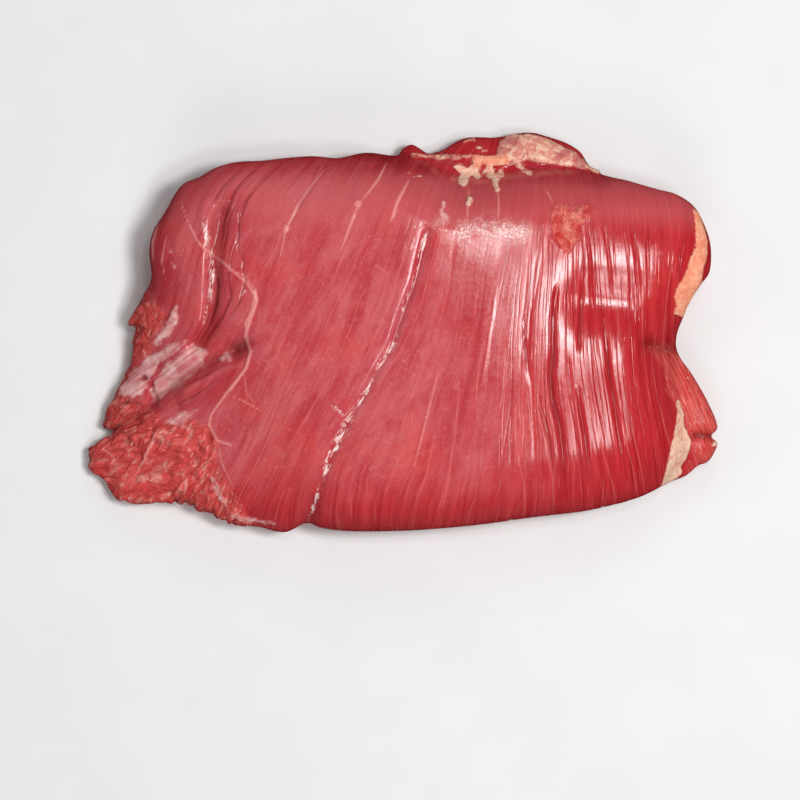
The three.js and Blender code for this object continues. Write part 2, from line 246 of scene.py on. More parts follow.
@dataclass
class SteakOutline:
    """Plan outline of the steak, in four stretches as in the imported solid, in millimetres."""

    length: float = 209.5
    width: float = 133.0
    left: tuple = (
        (-103.5, -45.5), (-103.5, -41), (-104.5, -38.5), (-98.5, -35.5), (-96, -32.5),
        (-100, -32), (-98, -27), (-95, -20), (-90.5, -12.5), (-89, -3.5), (-89, 1.5),
        (-90.5, 3), (-87.5, 9), (-83, 17.5), (-83.5, 27), (-82, 33.5), (-78.5, 39),
        (-72.5, 48.5),
    )
    top: tuple = (
        (-72.5, 48.5), (-67, 51), (-62, 54), (-55.5, 56), (-46, 56.5), (-29.5, 58),
        (-21, 57.5), (-12, 59.5), (-1.5, 59), (0, 61), (3, 62.5), (6, 61), (8.5, 59.5),
        (13, 60.5), (20.5, 64.5), (31.5, 65), (41, 66.5), (47.5, 65.5), (58.5, 60.5),
        (62, 55.5), (65, 53), (74.5, 50), (84.5, 47), (90, 45.5), (96, 41.5),
    )
    right: tuple = (
        (98, -44.5), (101.5, -43), (104, -39), (104.5, -37), (102.5, -34.5), (104.5, -32),
        (101.5, -23.5), (95.5, -13), (93, -9.5), (91, -5.5), (91, -0.5), (93, 6), (95, 11),
        (98.5, 16), (101, 19.5), (101.5, 28.5), (99, 36.5), (96, 41.5),
    )
    bottom: tuple = (
        (-103.5, -45.5), (-99.5, -48.5), (-97, -53), (-95, -55.5), (-86, -57), (-81.5, -56),
        (-74, -56.5), (-68.5, -58), (-57.5, -63), (-48.5, -64.5), (-39, -66.5),
        (-31.5, -63.5), (-27, -65), (-19, -66), (-1, -66), (13.5, -65), (28, -63.5),
        (42, -61.5), (62, -59), (78, -55), (88.5, -50), (94.5, -47.5), (98, -44.5),
    )
    steps: int = 24

    def stretches(self) -> dict[Side, Points]:
        """Draw the outline as one smooth loop and part it into its four stretches.

        Returns:
            Fine points of left, right, bottom and top, each from the lower left on.
        """
        loop = [*self.bottom, *self.right[1:], *self.top[::-1][1:], *self.left[::-1][1:-1]]
        fine = self._smooth_loop(np.array(loop, float))
        fine -= (fine.min(0) + fine.max(0)) / 2
        fine *= (self.length, self.width) / (fine.max(0) - fine.min(0))
        marks = np.cumsum([0, len(self.bottom) - 1, len(self.right) - 1, len(self.top) - 1])
        parts = [
            fine[first * self.steps : last * self.steps + 1]
            for first, last in zip(marks, [*marks[1:], len(loop)])
        ]
        parts[3] = np.vstack([parts[3], fine[:1]])
        return {
            Side.BOTTOM: parts[0], Side.RIGHT: parts[1], Side.TOP: parts[2][::-1],
            Side.LEFT: parts[3][::-1],
        }

    def _smooth_loop(self, points: Points) -> Points:
        """Pass a centripetal Catmull-Rom curve through a closed loop of points.

        Args:
            points: Points of the loop.

        Returns:
            Fine points of the curve.
        """
        before, after = np.roll(points, 1, 0), np.roll(points, -1, 0)
        beyond = np.roll(points, -2, 0)

        def knot(a: Points, b: Points) -> Points:
            """Root of the distance between two rows of points."""
            return np.sqrt(np.hypot(*(b - a).T))[:, None]

        first, middle, last = knot(before, points), knot(points, after), knot(after, beyond)
        leave = (points - before) / first - (after - before) / (first + middle)
        leave = (leave + (after - points) / middle) * middle
        arrive = (after - points) / middle - (beyond - points) / (middle + last)
        arrive = (arrive + (beyond - after) / last) * middle
        t = (np.arange(self.steps) / self.steps)[None, :, None]
        p, q, m, n = (row[:, None, :] for row in (points, after, leave, arrive))
        curve = (2 * t**3 - 3 * t**2 + 1) * p + (t**3 - 2 * t**2 + t) * m
        curve = curve + (3 * t**2 - 2 * t**3) * q + (t**3 - t**2) * n
        return curve.reshape(-1, 2)


def spaced(points: Points, count: int) -> Points:
    """Place even stations along a line of points.

    Args:
        points: Points of the line.
        count: How many steps to part it into.

    Returns:
        One more point than there are steps.
    """
    runs = np.hypot(*np.diff(points, axis=0).T)
    reach = np.concatenate([[0], np.cumsum(runs)])
    stations = np.linspace(0, reach[-1], count + 1)
    return np.stack([np.interp(stations, reach, points[:, axis]) for axis in (0, 1)], axis=1)


@dataclass
class PlanLattice:
    """Even lattice of plan points inside the outline, none of its cells folded over."""

    stretches: dict[Side, Points]
    columns: int
    rows: int
    passes: tuple = (900, 300, 120, 50)
    nodes: np.ndarray = field(init=False)

    def __post_init__(self) -> None:
        """Relax the lattice from a coarse one to the full one."""
        coarsest = 2 ** (len(self.passes) - 1)
        nodes = None
        for level, passes in enumerate(self.passes):
            part = coarsest >> level
            nodes = self._framed(self.columns // part, self.rows // part, nodes)
            for _ in range(passes):
                nodes = self._relaxed(nodes)
        self.nodes = nodes

    def _framed(self, columns: int, rows: int, coarse: np.ndarray | None) -> np.ndarray:
        """Set a lattice's rim on the outline and its inside from a coarser lattice.

        Args:
            columns: Cells from left to right.
            rows: Cells from bottom to top.
            coarse: The coarser lattice, or None for the first one.

        Returns:
            The points of the lattice.
        """
        left, right = (spaced(self.stretches[side], rows) for side in (Side.LEFT, Side.RIGHT))
        bottom, top = (spaced(self.stretches[side], columns) for side in (Side.BOTTOM, Side.TOP))
        p = np.linspace(0, 1, columns + 1)[:, None, None]
        q = np.linspace(0, 1, rows + 1)[None, :, None]
        if coarse is None:
            nodes = (1 - p) * left[None] + p * right[None]
            nodes = nodes + (1 - q) * bottom[:, None] + q * top[:, None]
            nodes -= (1 - p) * (1 - q) * bottom[0] + p * (1 - q) * bottom[-1]
            nodes -= (1 - p) * q * top[0] + p * q * top[-1]
        else:
            nodes = np.zeros((columns + 1, rows + 1, 2))
            nodes[::2, ::2] = coarse
            nodes[1::2, ::2] = (coarse[1:] + coarse[:-1]) / 2
            nodes[:, 1::2] = (nodes[:, :-1:2] + nodes[:, 2::2]) / 2
        nodes[0], nodes[-1], nodes[:, 0], nodes[:, -1] = left, right, bottom, top
        return nodes

    @staticmethod
    def _relaxed(nodes: np.ndarray) -> np.ndarray:
        """Take one step of the elliptic grid rule at every inner node.

        Args:
            nodes: The points of the lattice.

        Returns:
            The same points, a step more even.
        """
        west, east = nodes[:-2, 1:-1], nodes[2:, 1:-1]
        south, north = nodes[1:-1, :-2], nodes[1:-1, 2:]
        across, up = (east - west) / 2, (north - south) / 2
        alpha = (up**2).sum(-1, keepdims=True)
        beta = (across * up).sum(-1, keepdims=True)
        gamma = (across**2).sum(-1, keepdims=True)
        twist = (nodes[2:, 2:] - nodes[:-2, 2:] - nodes[2:, :-2] + nodes[:-2, :-2]) / 4
        target = alpha * (west + east) + gamma * (south + north) - 2 * beta * twist
        result = nodes.copy()
        result[1:-1, 1:-1] = (nodes[1:-1, 1:-1] + target / (2 * (alpha + gamma))) / 2
        return result

    def point(self, p: Field, q: Field) -> Points:
        """Read plan points off the lattice.

        Args:
            p: Shares of the way from left to right.
            q: Shares of the way from bottom to top.

        Returns:
            One plan point for each pair of shares.
        """
        u = np.clip(p, 0, 1) * self.columns
        v = np.clip(q, 0, 1) * self.rows
        i = np.minimum(u.astype(int), self.columns - 1)
        j = np.minimum(v.astype(int), self.rows - 1)
        u, v = (u - i)[..., None], (v - j)[..., None]
        low = self.nodes[i, j] * (1 - u) + self.nodes[i + 1, j] * u
        high = self.nodes[i, j + 1] * (1 - u) + self.nodes[i + 1, j + 1] * u
        return low * (1 - v) + high * v


@dataclass
class SteakForm:
    """Heights and side profile of the steak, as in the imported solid, in millimetres."""

    thickness: float = 38.0
    crown_centre: tuple = (8, 4)
    crown_left: float = 0.0012
    crown_right: float = 0.0011
    crown_across: float = 0.0011
    lower_height: float = 15
    left_lobe_height: float = 22
    left_lobe_start: float = 50
    lower_fall: float = 0.36
    tip_start: float = -72
    step_width: float = 20
    left_step_width: float = 44
    step_power: float = 2.2
    crease_depth: float = 1.6
    crease_width: float = 2.2
    rim_reach: float = 24
    rim_power: float = 3
    fold_equator: float = 0.46
    layered_equator: float = 0.68
    fold_undercut: float = 6.5
    layer_crease_depth: float = 4
    layer_crease_level: float = 0.4
    lower_bulge_inset: float = 0.8
    single_layer_height: float = 20
    double_layer_height: float = 27
    full_inset_height: float = 9
    upper_edge: tuple = (
        (-60, 80), (-1.5, 60), (3, 59), (9, 56.5), (17.5, 52.5), (25.5, 52.5), (35.5, 54),
        (48.5, 55), (62, 54.5), (72, 58), (120, 66), (130, 0), (93, -4.5), (91.5, -12.5),
        (92.5, -22.5), (93.5, -31), (95, -39), (92.5, -44.5), (89, -50), (96, -80),
        (-40, -84), (-50.5, -64), (-56.5, -57), (-65, -49), (-70, -39), (-73, -27.5),
        (-76, -17.5), (-84, -8), (-96, 0), (-120, 20), (-110, 70),
    )

    def body_height(self, plan: Points) -> Field:
        """Height of the full body over plan points, before the rim turns down.

        Args:
            plan: Plan points.

        Returns:
            One height for each point.
        """
        x, y = plan.T
        from_x, from_y = x - self.crown_centre[0], y - self.crown_centre[1]
        crown = np.where(from_x < 0, self.crown_left, self.crown_right)
        upper = self.thickness - crown * from_x**2 - self.crown_across * from_y**2
        leftward = smoothstep(-x, 0, self.left_lobe_start)
        lower = self.lower_height + (self.left_lobe_height - self.lower_height) * leftward
        lower = lower - self.lower_fall * np.maximum(0, self.tip_start - x)
        edge_points = np.array(self.upper_edge, float)
        edge = path_distance(plan, edge_points, closed=True)
        width = self.step_width + (self.left_step_width - self.step_width) * leftward
        rise = np.where(inside(plan, edge_points), np.minimum(1, edge / width), 0)
        crease = self.crease_depth * (1 - leftward) * np.exp(-((edge / self.crease_width) ** 2))
        return lower + (upper - lower) * (1 - (1 - rise) ** self.step_power) - crease

    def layering(self, height: Field, on_fold: np.ndarray) -> Field:
        """Share of the two-layer look at rim places: 0 on the fold and where one layer shows."""
        share = smoothstep(height, self.single_layer_height, self.double_layer_height)
        return np.where(on_fold, 0, share)

    def rim_height(self, body: Field, on_fold: np.ndarray) -> Field:
        """Height of the rim, the widest line round the steak, from the body's height there."""
        layered = self.layering(body, on_fold)
        return body * (self.fold_equator + (self.layered_equator - self.fold_equator) * layered)

    def side_inset(self, t: float, layered: Field) -> Field:
        """Inset of the side at a share t of the way down from the rim to the underside.

        Args:
            t: Share of the way down.
            layered: Share of the two-layer look at each place.

        Returns:
            One inset for each place.
        """
        fold = self.fold_undercut * (1 - math.sqrt(1 - t * t))
        if t < self.layer_crease_level:
            arc = t / self.layer_crease_level
            layers = self.layer_crease_depth * (1 - math.sqrt(1 - arc * arc))
        else:
            half = (1 - self.layer_crease_level) / 2
            arc = (t - self.layer_crease_level - half) / half
            bulge = self.layer_crease_depth - self.lower_bulge_inset
            layers = self.lower_bulge_inset + bulge * (1 - math.sqrt(max(0, 1 - arc * arc)))
        return fold + (layers - fold) * layered


@dataclass
class FibreField:
    """Course of the muscle fibres, as lines that the eye can follow in the photograph."""

    rows: tuple = (513.6, 422.7, 331.75, 240.8, 150.0)
    lines: tuple = (
        (40, 95, 148, 172, 228), (70, 130, 207, 232, 310), (164, 206, 247, 290, 337),
        (221, 264, 306, 347, 396), (265, 310, 350, 383, 421), (311, 346, 398, 425, 467),
        (402, 424, 449, 469, 487), (459, 475, 489, 504, 519), (567, 559, 552, 556, 550),
        (628, 615, 602, 596, 575), (672, 661, 650, 648, 622), (735, 715, 690, 700, 660),
    )

    def coordinates(self, plan: Points) -> tuple[Field, Field]:
        """Give each plan point its place across and along the fibres.

        Args:
            plan: Plan points.

        Returns:
            Millimetres across the fibres and millimetres along them.
        """
        level = (ORIGIN_PIXEL[1] - np.array(self.rows)) * PIXEL_MM
        columns = (np.array(self.lines, float) - ORIGIN_PIXEL[0]) * PIXEL_MM
        y = np.clip(plan[:, 1], level.min() - 8, level.max() + 8)
        courses = np.stack([np.polyval(np.polyfit(level, row, 4), y) for row in columns], axis=1)
        middle = columns[:, 2]
        slot = np.clip((courses <= plan[:, :1]).sum(1) - 1, 0, len(middle) - 2)
        every = np.arange(len(plan))
        left, right = courses[every, slot], courses[every, slot + 1]
        share = (plan[:, 0] - left) / np.maximum(right - left, 0.5)
        across = middle[slot] + share * (middle[slot + 1] - middle[slot])
        return across, plan[:, 1]


@dataclass(frozen=True)
class Patch:
    """An area on the steak, by the points of its outline."""

    outline: Points

    def depth(self, plan: Points) -> Field:
        """How deep plan points lie in the patch, in millimetres, negative outside it."""
        distance = path_distance(plan, self.outline, closed=True)
        return np.where(inside(plan, self.outline), distance, -distance)


@dataclass(frozen=True)
class Stroke:
    """A line on the steak, with its half width and how far it stands up, in millimetres."""

    path: Points
    half_width: float
    rise: float = 0.0
    tapered: bool = False

    def depth(self, plan: Points) -> Field:
        """How deep plan points lie in the line, negative outside it."""
        distance, share = path_place(plan, self.path)
        return self.half_width * self._fullness(share) - distance

    def relief(self, plan: Points) -> Field:
        """Height that the line adds, as a rounded ridge or groove."""
        distance, share = path_place(plan, self.path)
        return self.rise * self._fullness(share) * np.exp(-((distance / self.half_width) ** 2))

    def shade(self, plan: Points, spread: float) -> Field:
        """Share of the line's own colour, wider or narrower than its relief by the spread."""
        distance, share = path_place(plan, self.path)
        return self._fullness(share) * np.exp(-((distance / (self.half_width * spread)) ** 2))

    def _fullness(self, share: Field) -> Field:
        """Share of the full width at shares of the way along the path."""
        if not self.tapered:
            return np.ones_like(share)
        return np.sin(np.pi * np.clip(share, 0, 1)) ** 0.7


def tapering(*lines: tuple) -> tuple[Stroke, ...]:
    """Draw strokes that thin out at both ends, each from its half width, rise and pixels."""
    return tuple(Stroke(at(*pixels), width, rise, True) for width, rise, *pixels in lines)


@dataclass
class SteakMarks:
    """Fat, silver skin, tendon, torn meat and creases, placed by the photograph."""

    flap_fat: Patch = Patch(at(
        (500, 139), (512, 132), (527, 130), (545, 134), (552, 140), (566, 146), (580, 156),
        (596, 169), (575, 166), (545, 162), (527, 160), (510, 165), (500, 164), (505, 156),
        (497, 150),
    ))
    flap_left_fat: Patch = Patch(at(
        (415, 153), (440, 153), (470, 154), (470, 158), (445, 159), (425, 157),
    ))
    flap_cord: Stroke = Stroke(
        at((412, 154), (440, 155), (473, 155.5), (508, 158), (540, 158.5), (563, 160.5),
           (585, 165), (600, 171)), 0.55, 0.5)
    peach_lobe: Stroke = Stroke(
        at((476, 157.5), (488, 159.5), (500, 161), (505, 160)), 1.15, 1.1)
    fat_runs: tuple = (
        Stroke(at((479, 161), (474, 167), (467, 173), (463, 182)), 1.5),
        Stroke(at((457, 168), (466, 168), (478, 175)), 1.1),
        Stroke(at((489, 161), (490, 169), (494, 180), (497, 190)), 1.0),
        Stroke(at((486, 174), (495, 177), (501, 174)), 1.1),
        Stroke(at((518, 163), (523, 168), (530, 172)), 1.0),
        Stroke(at((408, 174), (418, 177), (424, 179)), 0.3),
        Stroke(at((466, 141), (475, 138)), 0.5),
        Stroke(at((478, 147), (487, 150)), 0.45),
    )
    fat_dot: Stroke = Stroke(at((468, 205), (469.5, 201)), 0.95, 0.5)
    right_strip: Patch = Patch(at(
        (692, 209), (694.5, 224), (694, 247), (689.5, 257.6), (684, 275), (675, 289.7),
        (673, 298), (675, 306), (673, 314), (683.5, 317.5), (687.5, 308), (692, 298),
        (701, 284), (702.5, 269), (706, 257.6), (707, 242.7), (704.5, 229), (698, 210.5),
    ))
    low_stripe: Patch = Patch(at(
        (676, 399), (678, 410), (676, 425), (672.5, 439), (669, 454), (667, 468), (663, 487),
        (676, 481), (684, 474.5), (683, 465.5), (688.5, 457), (692, 447), (692.5, 440),
        (689, 433), (685, 425), (685, 415), (681.5, 401),
    ))
    tip_fat: Stroke = Stroke(at((716, 445), (719, 443.5)), 0.8)
    skin_strip: Patch = Patch(at(
        (171, 311), (178, 307), (177, 322), (171, 333), (158, 346), (154.5, 344), (159.5, 333),
        (167.5, 322),
    ))
    skin_band: Patch = Patch(at(
        (114, 395), (121, 384), (129, 371), (136, 367), (148, 354.6), (152, 355.4), (161, 352),
        (177, 342.6), (187, 341), (185, 346), (171, 355.4), (156, 365), (147, 381), (142, 392),
        (137, 395.5),
    ))
    skin_patch: Patch = Patch(at(
        (193, 344), (171, 360), (155, 377.7), (150, 392), (153, 402), (164, 395), (187, 379),
        (203, 366), (207, 352),
    ))
    skin_small: Patch = Patch(at(
        (166, 422.5), (179, 414), (198, 409), (187, 421), (174, 425.5),
    ))
    skin_low: Patch = Patch(at(
        (208, 478), (212, 475), (218, 484), (225, 496), (230, 507), (224, 509), (216, 495),
    ))
    skin_fringe: Patch = Patch(at(
        (226, 508), (238, 512), (256, 518), (276, 523), (275, 527), (250, 523.5), (230, 515),
    ))
    skin_hole: Stroke = Stroke(at((142, 377), (143.5, 378)), 0.7, -1.2)
    skin_knob: Stroke = Stroke(
        at((223, 359), (228, 355), (230, 359)), 0.8, 0.7)
    tendon: Stroke = Stroke(
        at((182, 204), (189, 222), (199, 242), (207, 252), (222, 261), (240, 277), (250, 286),
           (256, 297), (254, 310), (247, 325), (249, 345), (252, 352), (248, 368), (230, 390),
           (212, 415), (210, 425), (218, 440), (232, 445)), 0.36, 0.25)
    tendon_wide: Stroke = Stroke(
        at((255, 292), (258, 302), (250, 325), (246, 337), (252, 352), (247, 369), (231, 390)),
        0.5, 0.3)
    tendon_branches: tuple = tapering(
        (0.22, 0.2, (219, 440), (222, 462), (235, 490)),
        (0.22, 0.15, (233, 396), (246, 402), (264, 412)),
        (0.2, 0.12, (246, 374), (247, 392), (256, 404)),
        (0.2, 0.15, (203, 222), (206, 240), (205, 262)),
        (0.22, 0.15, (228, 271), (245, 275), (258, 292)),
        (0.3, 0.3, (168, 235), (163, 262), (167, 285)),
        (0.45, 0.15, (159, 222), (153, 243), (153, 262)),
    )
    # Strips of painted white highlight along the seam and the left fold
    glint_strips: tuple = (
        *tapering(
            (0.8, 0, (428, 232), (422, 246), (418, 260)),
            (0.4, 0, (419, 264), (416, 276), (411, 290)),
            (0.6, 0, (410, 292), (404, 304), (402, 318)),
            (0.9, 0, (398, 334), (393, 345), (386, 357), (374, 373)),
            (0.7, 0, (373, 378), (362, 400), (352, 414)),
            (1.3, 0, (354, 406), (345, 427), (334, 446)),
            (1.1, 0, (342, 432), (335, 448), (329, 461), (324, 478)),
            (0.5, 0, (325, 476), (316, 500), (308, 522)),
            (0.4, 0, (328, 404), (338, 409), (346, 417)),
            (1.0, 0, (203, 216), (209, 245), (212, 275), (209, 303), (202, 328)),
            (0.4, 0, (414, 238), (411, 252)),
        ),
        Stroke(at((415, 228), (421, 226)), 0.5),
        Stroke(at((246, 292), (243, 296)), 0.3),
    )
    grain_fat: tuple = tapering(
        (0.34, 0.12, (325, 170), (309, 192), (298, 209), (287, 231), (281, 260)),
        (0.62, 0.2, (300, 204), (296, 214), (293, 219)),
        (0.7, 0.2, (288, 226), (286, 235)),
        (0.42, 0.15, (387, 163), (378, 182), (362, 203)),
        (0.3, 0.12, (362, 203), (355, 215), (341, 254)),
        (1.1, 0.25, (355, 207), (362, 205)),
        (0.5, 0.12, (410, 180), (398, 203), (390, 225)),
        (0.2, 0.08, (496, 285), (488, 341), (481, 388)),
        (0.22, 0.08, (438, 371), (427, 415), (413, 470)),
        (0.3, 0.1, (469, 190), (466, 224)),
        (0.28, 0.08, (497, 188), (498, 204), (497, 224)),
        (0.25, 0.08, (545, 190), (552, 205)),
        (0.6, 0.1, (172, 250), (173, 256)),
        (0.55, 0.1, (172, 262), (178, 272)),
        (0.55, 0.3, (215, 481), (221, 495), (228, 513)),
        (0.6, 0.3, (234, 505), (241, 518), (251, 525)),
        (0.5, 0.35, (161, 427), (153, 441), (144, 459), (134, 475)),
        (0.42, 0.3, (100, 449), (107, 453), (112, 459), (112, 467), (107, 475)),
        (0.45, 0.3, (182, 474), (187, 483), (184, 494)),
    )
    left_fold: Stroke = Stroke(
        at((222, 215), (215, 250), (213.5, 290), (210, 325), (197, 345)), 2.6, -4.0)
    fold_roll: Stroke = Stroke(
        at((207, 205), (208, 240), (206, 280), (204, 318), (193, 338)), 2.2, 0.8)
    wrinkles: tuple = tapering(
        (0.4, -0.45, (246, 165), (222, 190), (208, 215)),
        (0.45, -0.55, (258, 168), (236, 192), (224, 222), (222, 248)),
        (0.4, -0.5, (270, 172), (248, 200), (240, 225), (240, 250), (248, 272)),
        (0.4, -0.5, (243, 262), (247, 282), (240, 305), (226, 325)),
        (0.5, -0.6, (229, 272), (232, 298), (223, 318), (206, 340)),
        (0.35, -0.35, (320, 178), (302, 204), (290, 228)),
        (0.7, -1.2, (214, 258), (218, 285), (216, 305), (208, 326), (194, 346)),
        (0.4, -0.4, (176, 300), (168, 316), (160, 328)),
        (0.4, -0.5, (166, 395), (186, 384), (212, 372), (226, 362)),
        (0.35, -0.4, (170, 408), (196, 396), (220, 378)),
        (0.8, -1.4, (150, 380), (152, 392), (157, 405)),
        (0.6, -0.8, (112, 404), (132, 402), (150, 410)),
        (0.4, -0.5, (686, 286), (694, 272), (701, 268)),
    )
    fold_pit: Stroke = Stroke(at((235, 350), (243, 346)), 2.8, -4.0)
    cleft: Stroke = Stroke(
        at((235, 351), (205, 366), (176, 384), (155, 398), (150, 407), (128, 424), (110, 432)),
        2.1, -2.8)
    notch: Stroke = Stroke(at((681, 348), (664, 348), (649, 343)), 2.6, -4.5)
    valley: Stroke = Stroke(
        at((676, 350), (650, 322), (625, 305), (590, 302)), 8.5, -2.0)
    corner_slit: Stroke = Stroke(at((718, 436.5), (697, 435)), 1.1, -3.0)
    seam: Stroke = Stroke(
        at((427, 235), (415, 285), (403, 315), (393, 346), (360, 403), (338, 442), (307, 523)),
        1.5, -1.1)
    seam_dent: Stroke = Stroke(at((312, 505), (306, 528)), 2.4, -1.6)
    grooves: tuple = tapering(
        (0.85, -1.2, (556, 285), (551.5, 320), (551.5, 350), (549, 375), (551, 400), (558, 425),
                  (562, 455), (565, 500)),
        (0.6, -0.6, (581, 285), (578, 325), (577, 355)),
        (0.6, -0.6, (575, 385), (584, 440), (588, 485)),
        (0.7, -0.9, (603, 320), (607, 375), (613, 405), (617, 433), (621, 460)),
        (0.45, -0.3, (522, 315), (524, 350), (529, 385)),
        (0.5, -0.5, (536, 395), (548, 440), (553, 480)),
    )
    plum_film: tuple = (
        Patch(at((423, 158), (452, 160), (478, 161), (470, 168), (455, 166), (440, 163))),
        Patch(at((523, 162), (555, 164), (585, 168), (590, 173), (560, 172), (533, 170))),
    )
    flap_shade: Stroke = Stroke(
        at((418, 166), (450, 172), (500, 174), (550, 176), (600, 180)), 3.4)
    left_shade: Stroke = Stroke(
        at((205, 165), (175, 190), (158, 215), (150, 255), (158, 300)), 9.0)
    # Runs of painted shade, in deeper red, beside the creases at the left
    shade_red_runs: tuple = (
        Stroke(at((160, 402), (195, 398), (222, 386), (238, 372)), 5.5),
        Stroke(at((234, 205), (230, 250), (228, 300), (216, 336)), 5.0),
        Stroke(at((176, 290), (186, 310), (196, 330)), 5.0),
    )
    crumple: Stroke = Stroke(
        at((300, 172), (250, 190), (228, 225), (222, 270)), 9.0)
    scuff: Patch = Patch(at(
        (549, 213), (560, 206), (572, 212), (584, 205), (592, 210), (587, 220), (578, 226),
        (577, 238), (572, 246), (566, 253), (560, 248), (553, 240), (550, 228),
    ))
    scuff_pale: Stroke = Stroke(at((444, 203), (441, 214), (446, 220)), 1.3, 0.2)
    crinkles: tuple = (
        Stroke(at((460, 234), (482, 230), (520, 234)), 4.4),
        Stroke(at((436, 226), (444, 226)), 2.4),
    )
    torn_left: Patch = Patch(at(
        (141, 294), (150, 300), (161, 318), (154, 340), (147, 352), (130, 366), (112, 392),
        (95, 400), (110, 340),
    ))
    torn_lobe: Patch = Patch(at(
        (110, 397), (135, 397), (150, 405), (168, 424), (200, 424), (214, 434), (216, 455),
        (222, 480), (236, 505), (262, 530), (230, 540), (170, 520), (105, 515), (70, 450),
    ))
    torn_right: Patch = Patch(at(
        (650, 350), (664, 345), (684, 352), (730, 400), (730, 470), (690, 480), (694, 440),
        (684, 405), (672, 395), (664, 370),
    ))


@dataclass(frozen=True)
class ReliefHeights:
    """How far each kind of fine relief stands up, in millimetres."""

    swell: float = 0.22
    bundle: float = 0.06
    furrow: float = 0.27
    fine_furrow: float = 0.09
    cloud: float = 0.3
    shred: float = 0.8
    ribbon: float = 0.35
    clod: float = 2.4
    fat: float = 0.3
    fat_lump: float = 1.2
    skin: float = 0.2
    skin_thread: float = 0.5
    scuff: float = 1.4
    under: float = 0.7


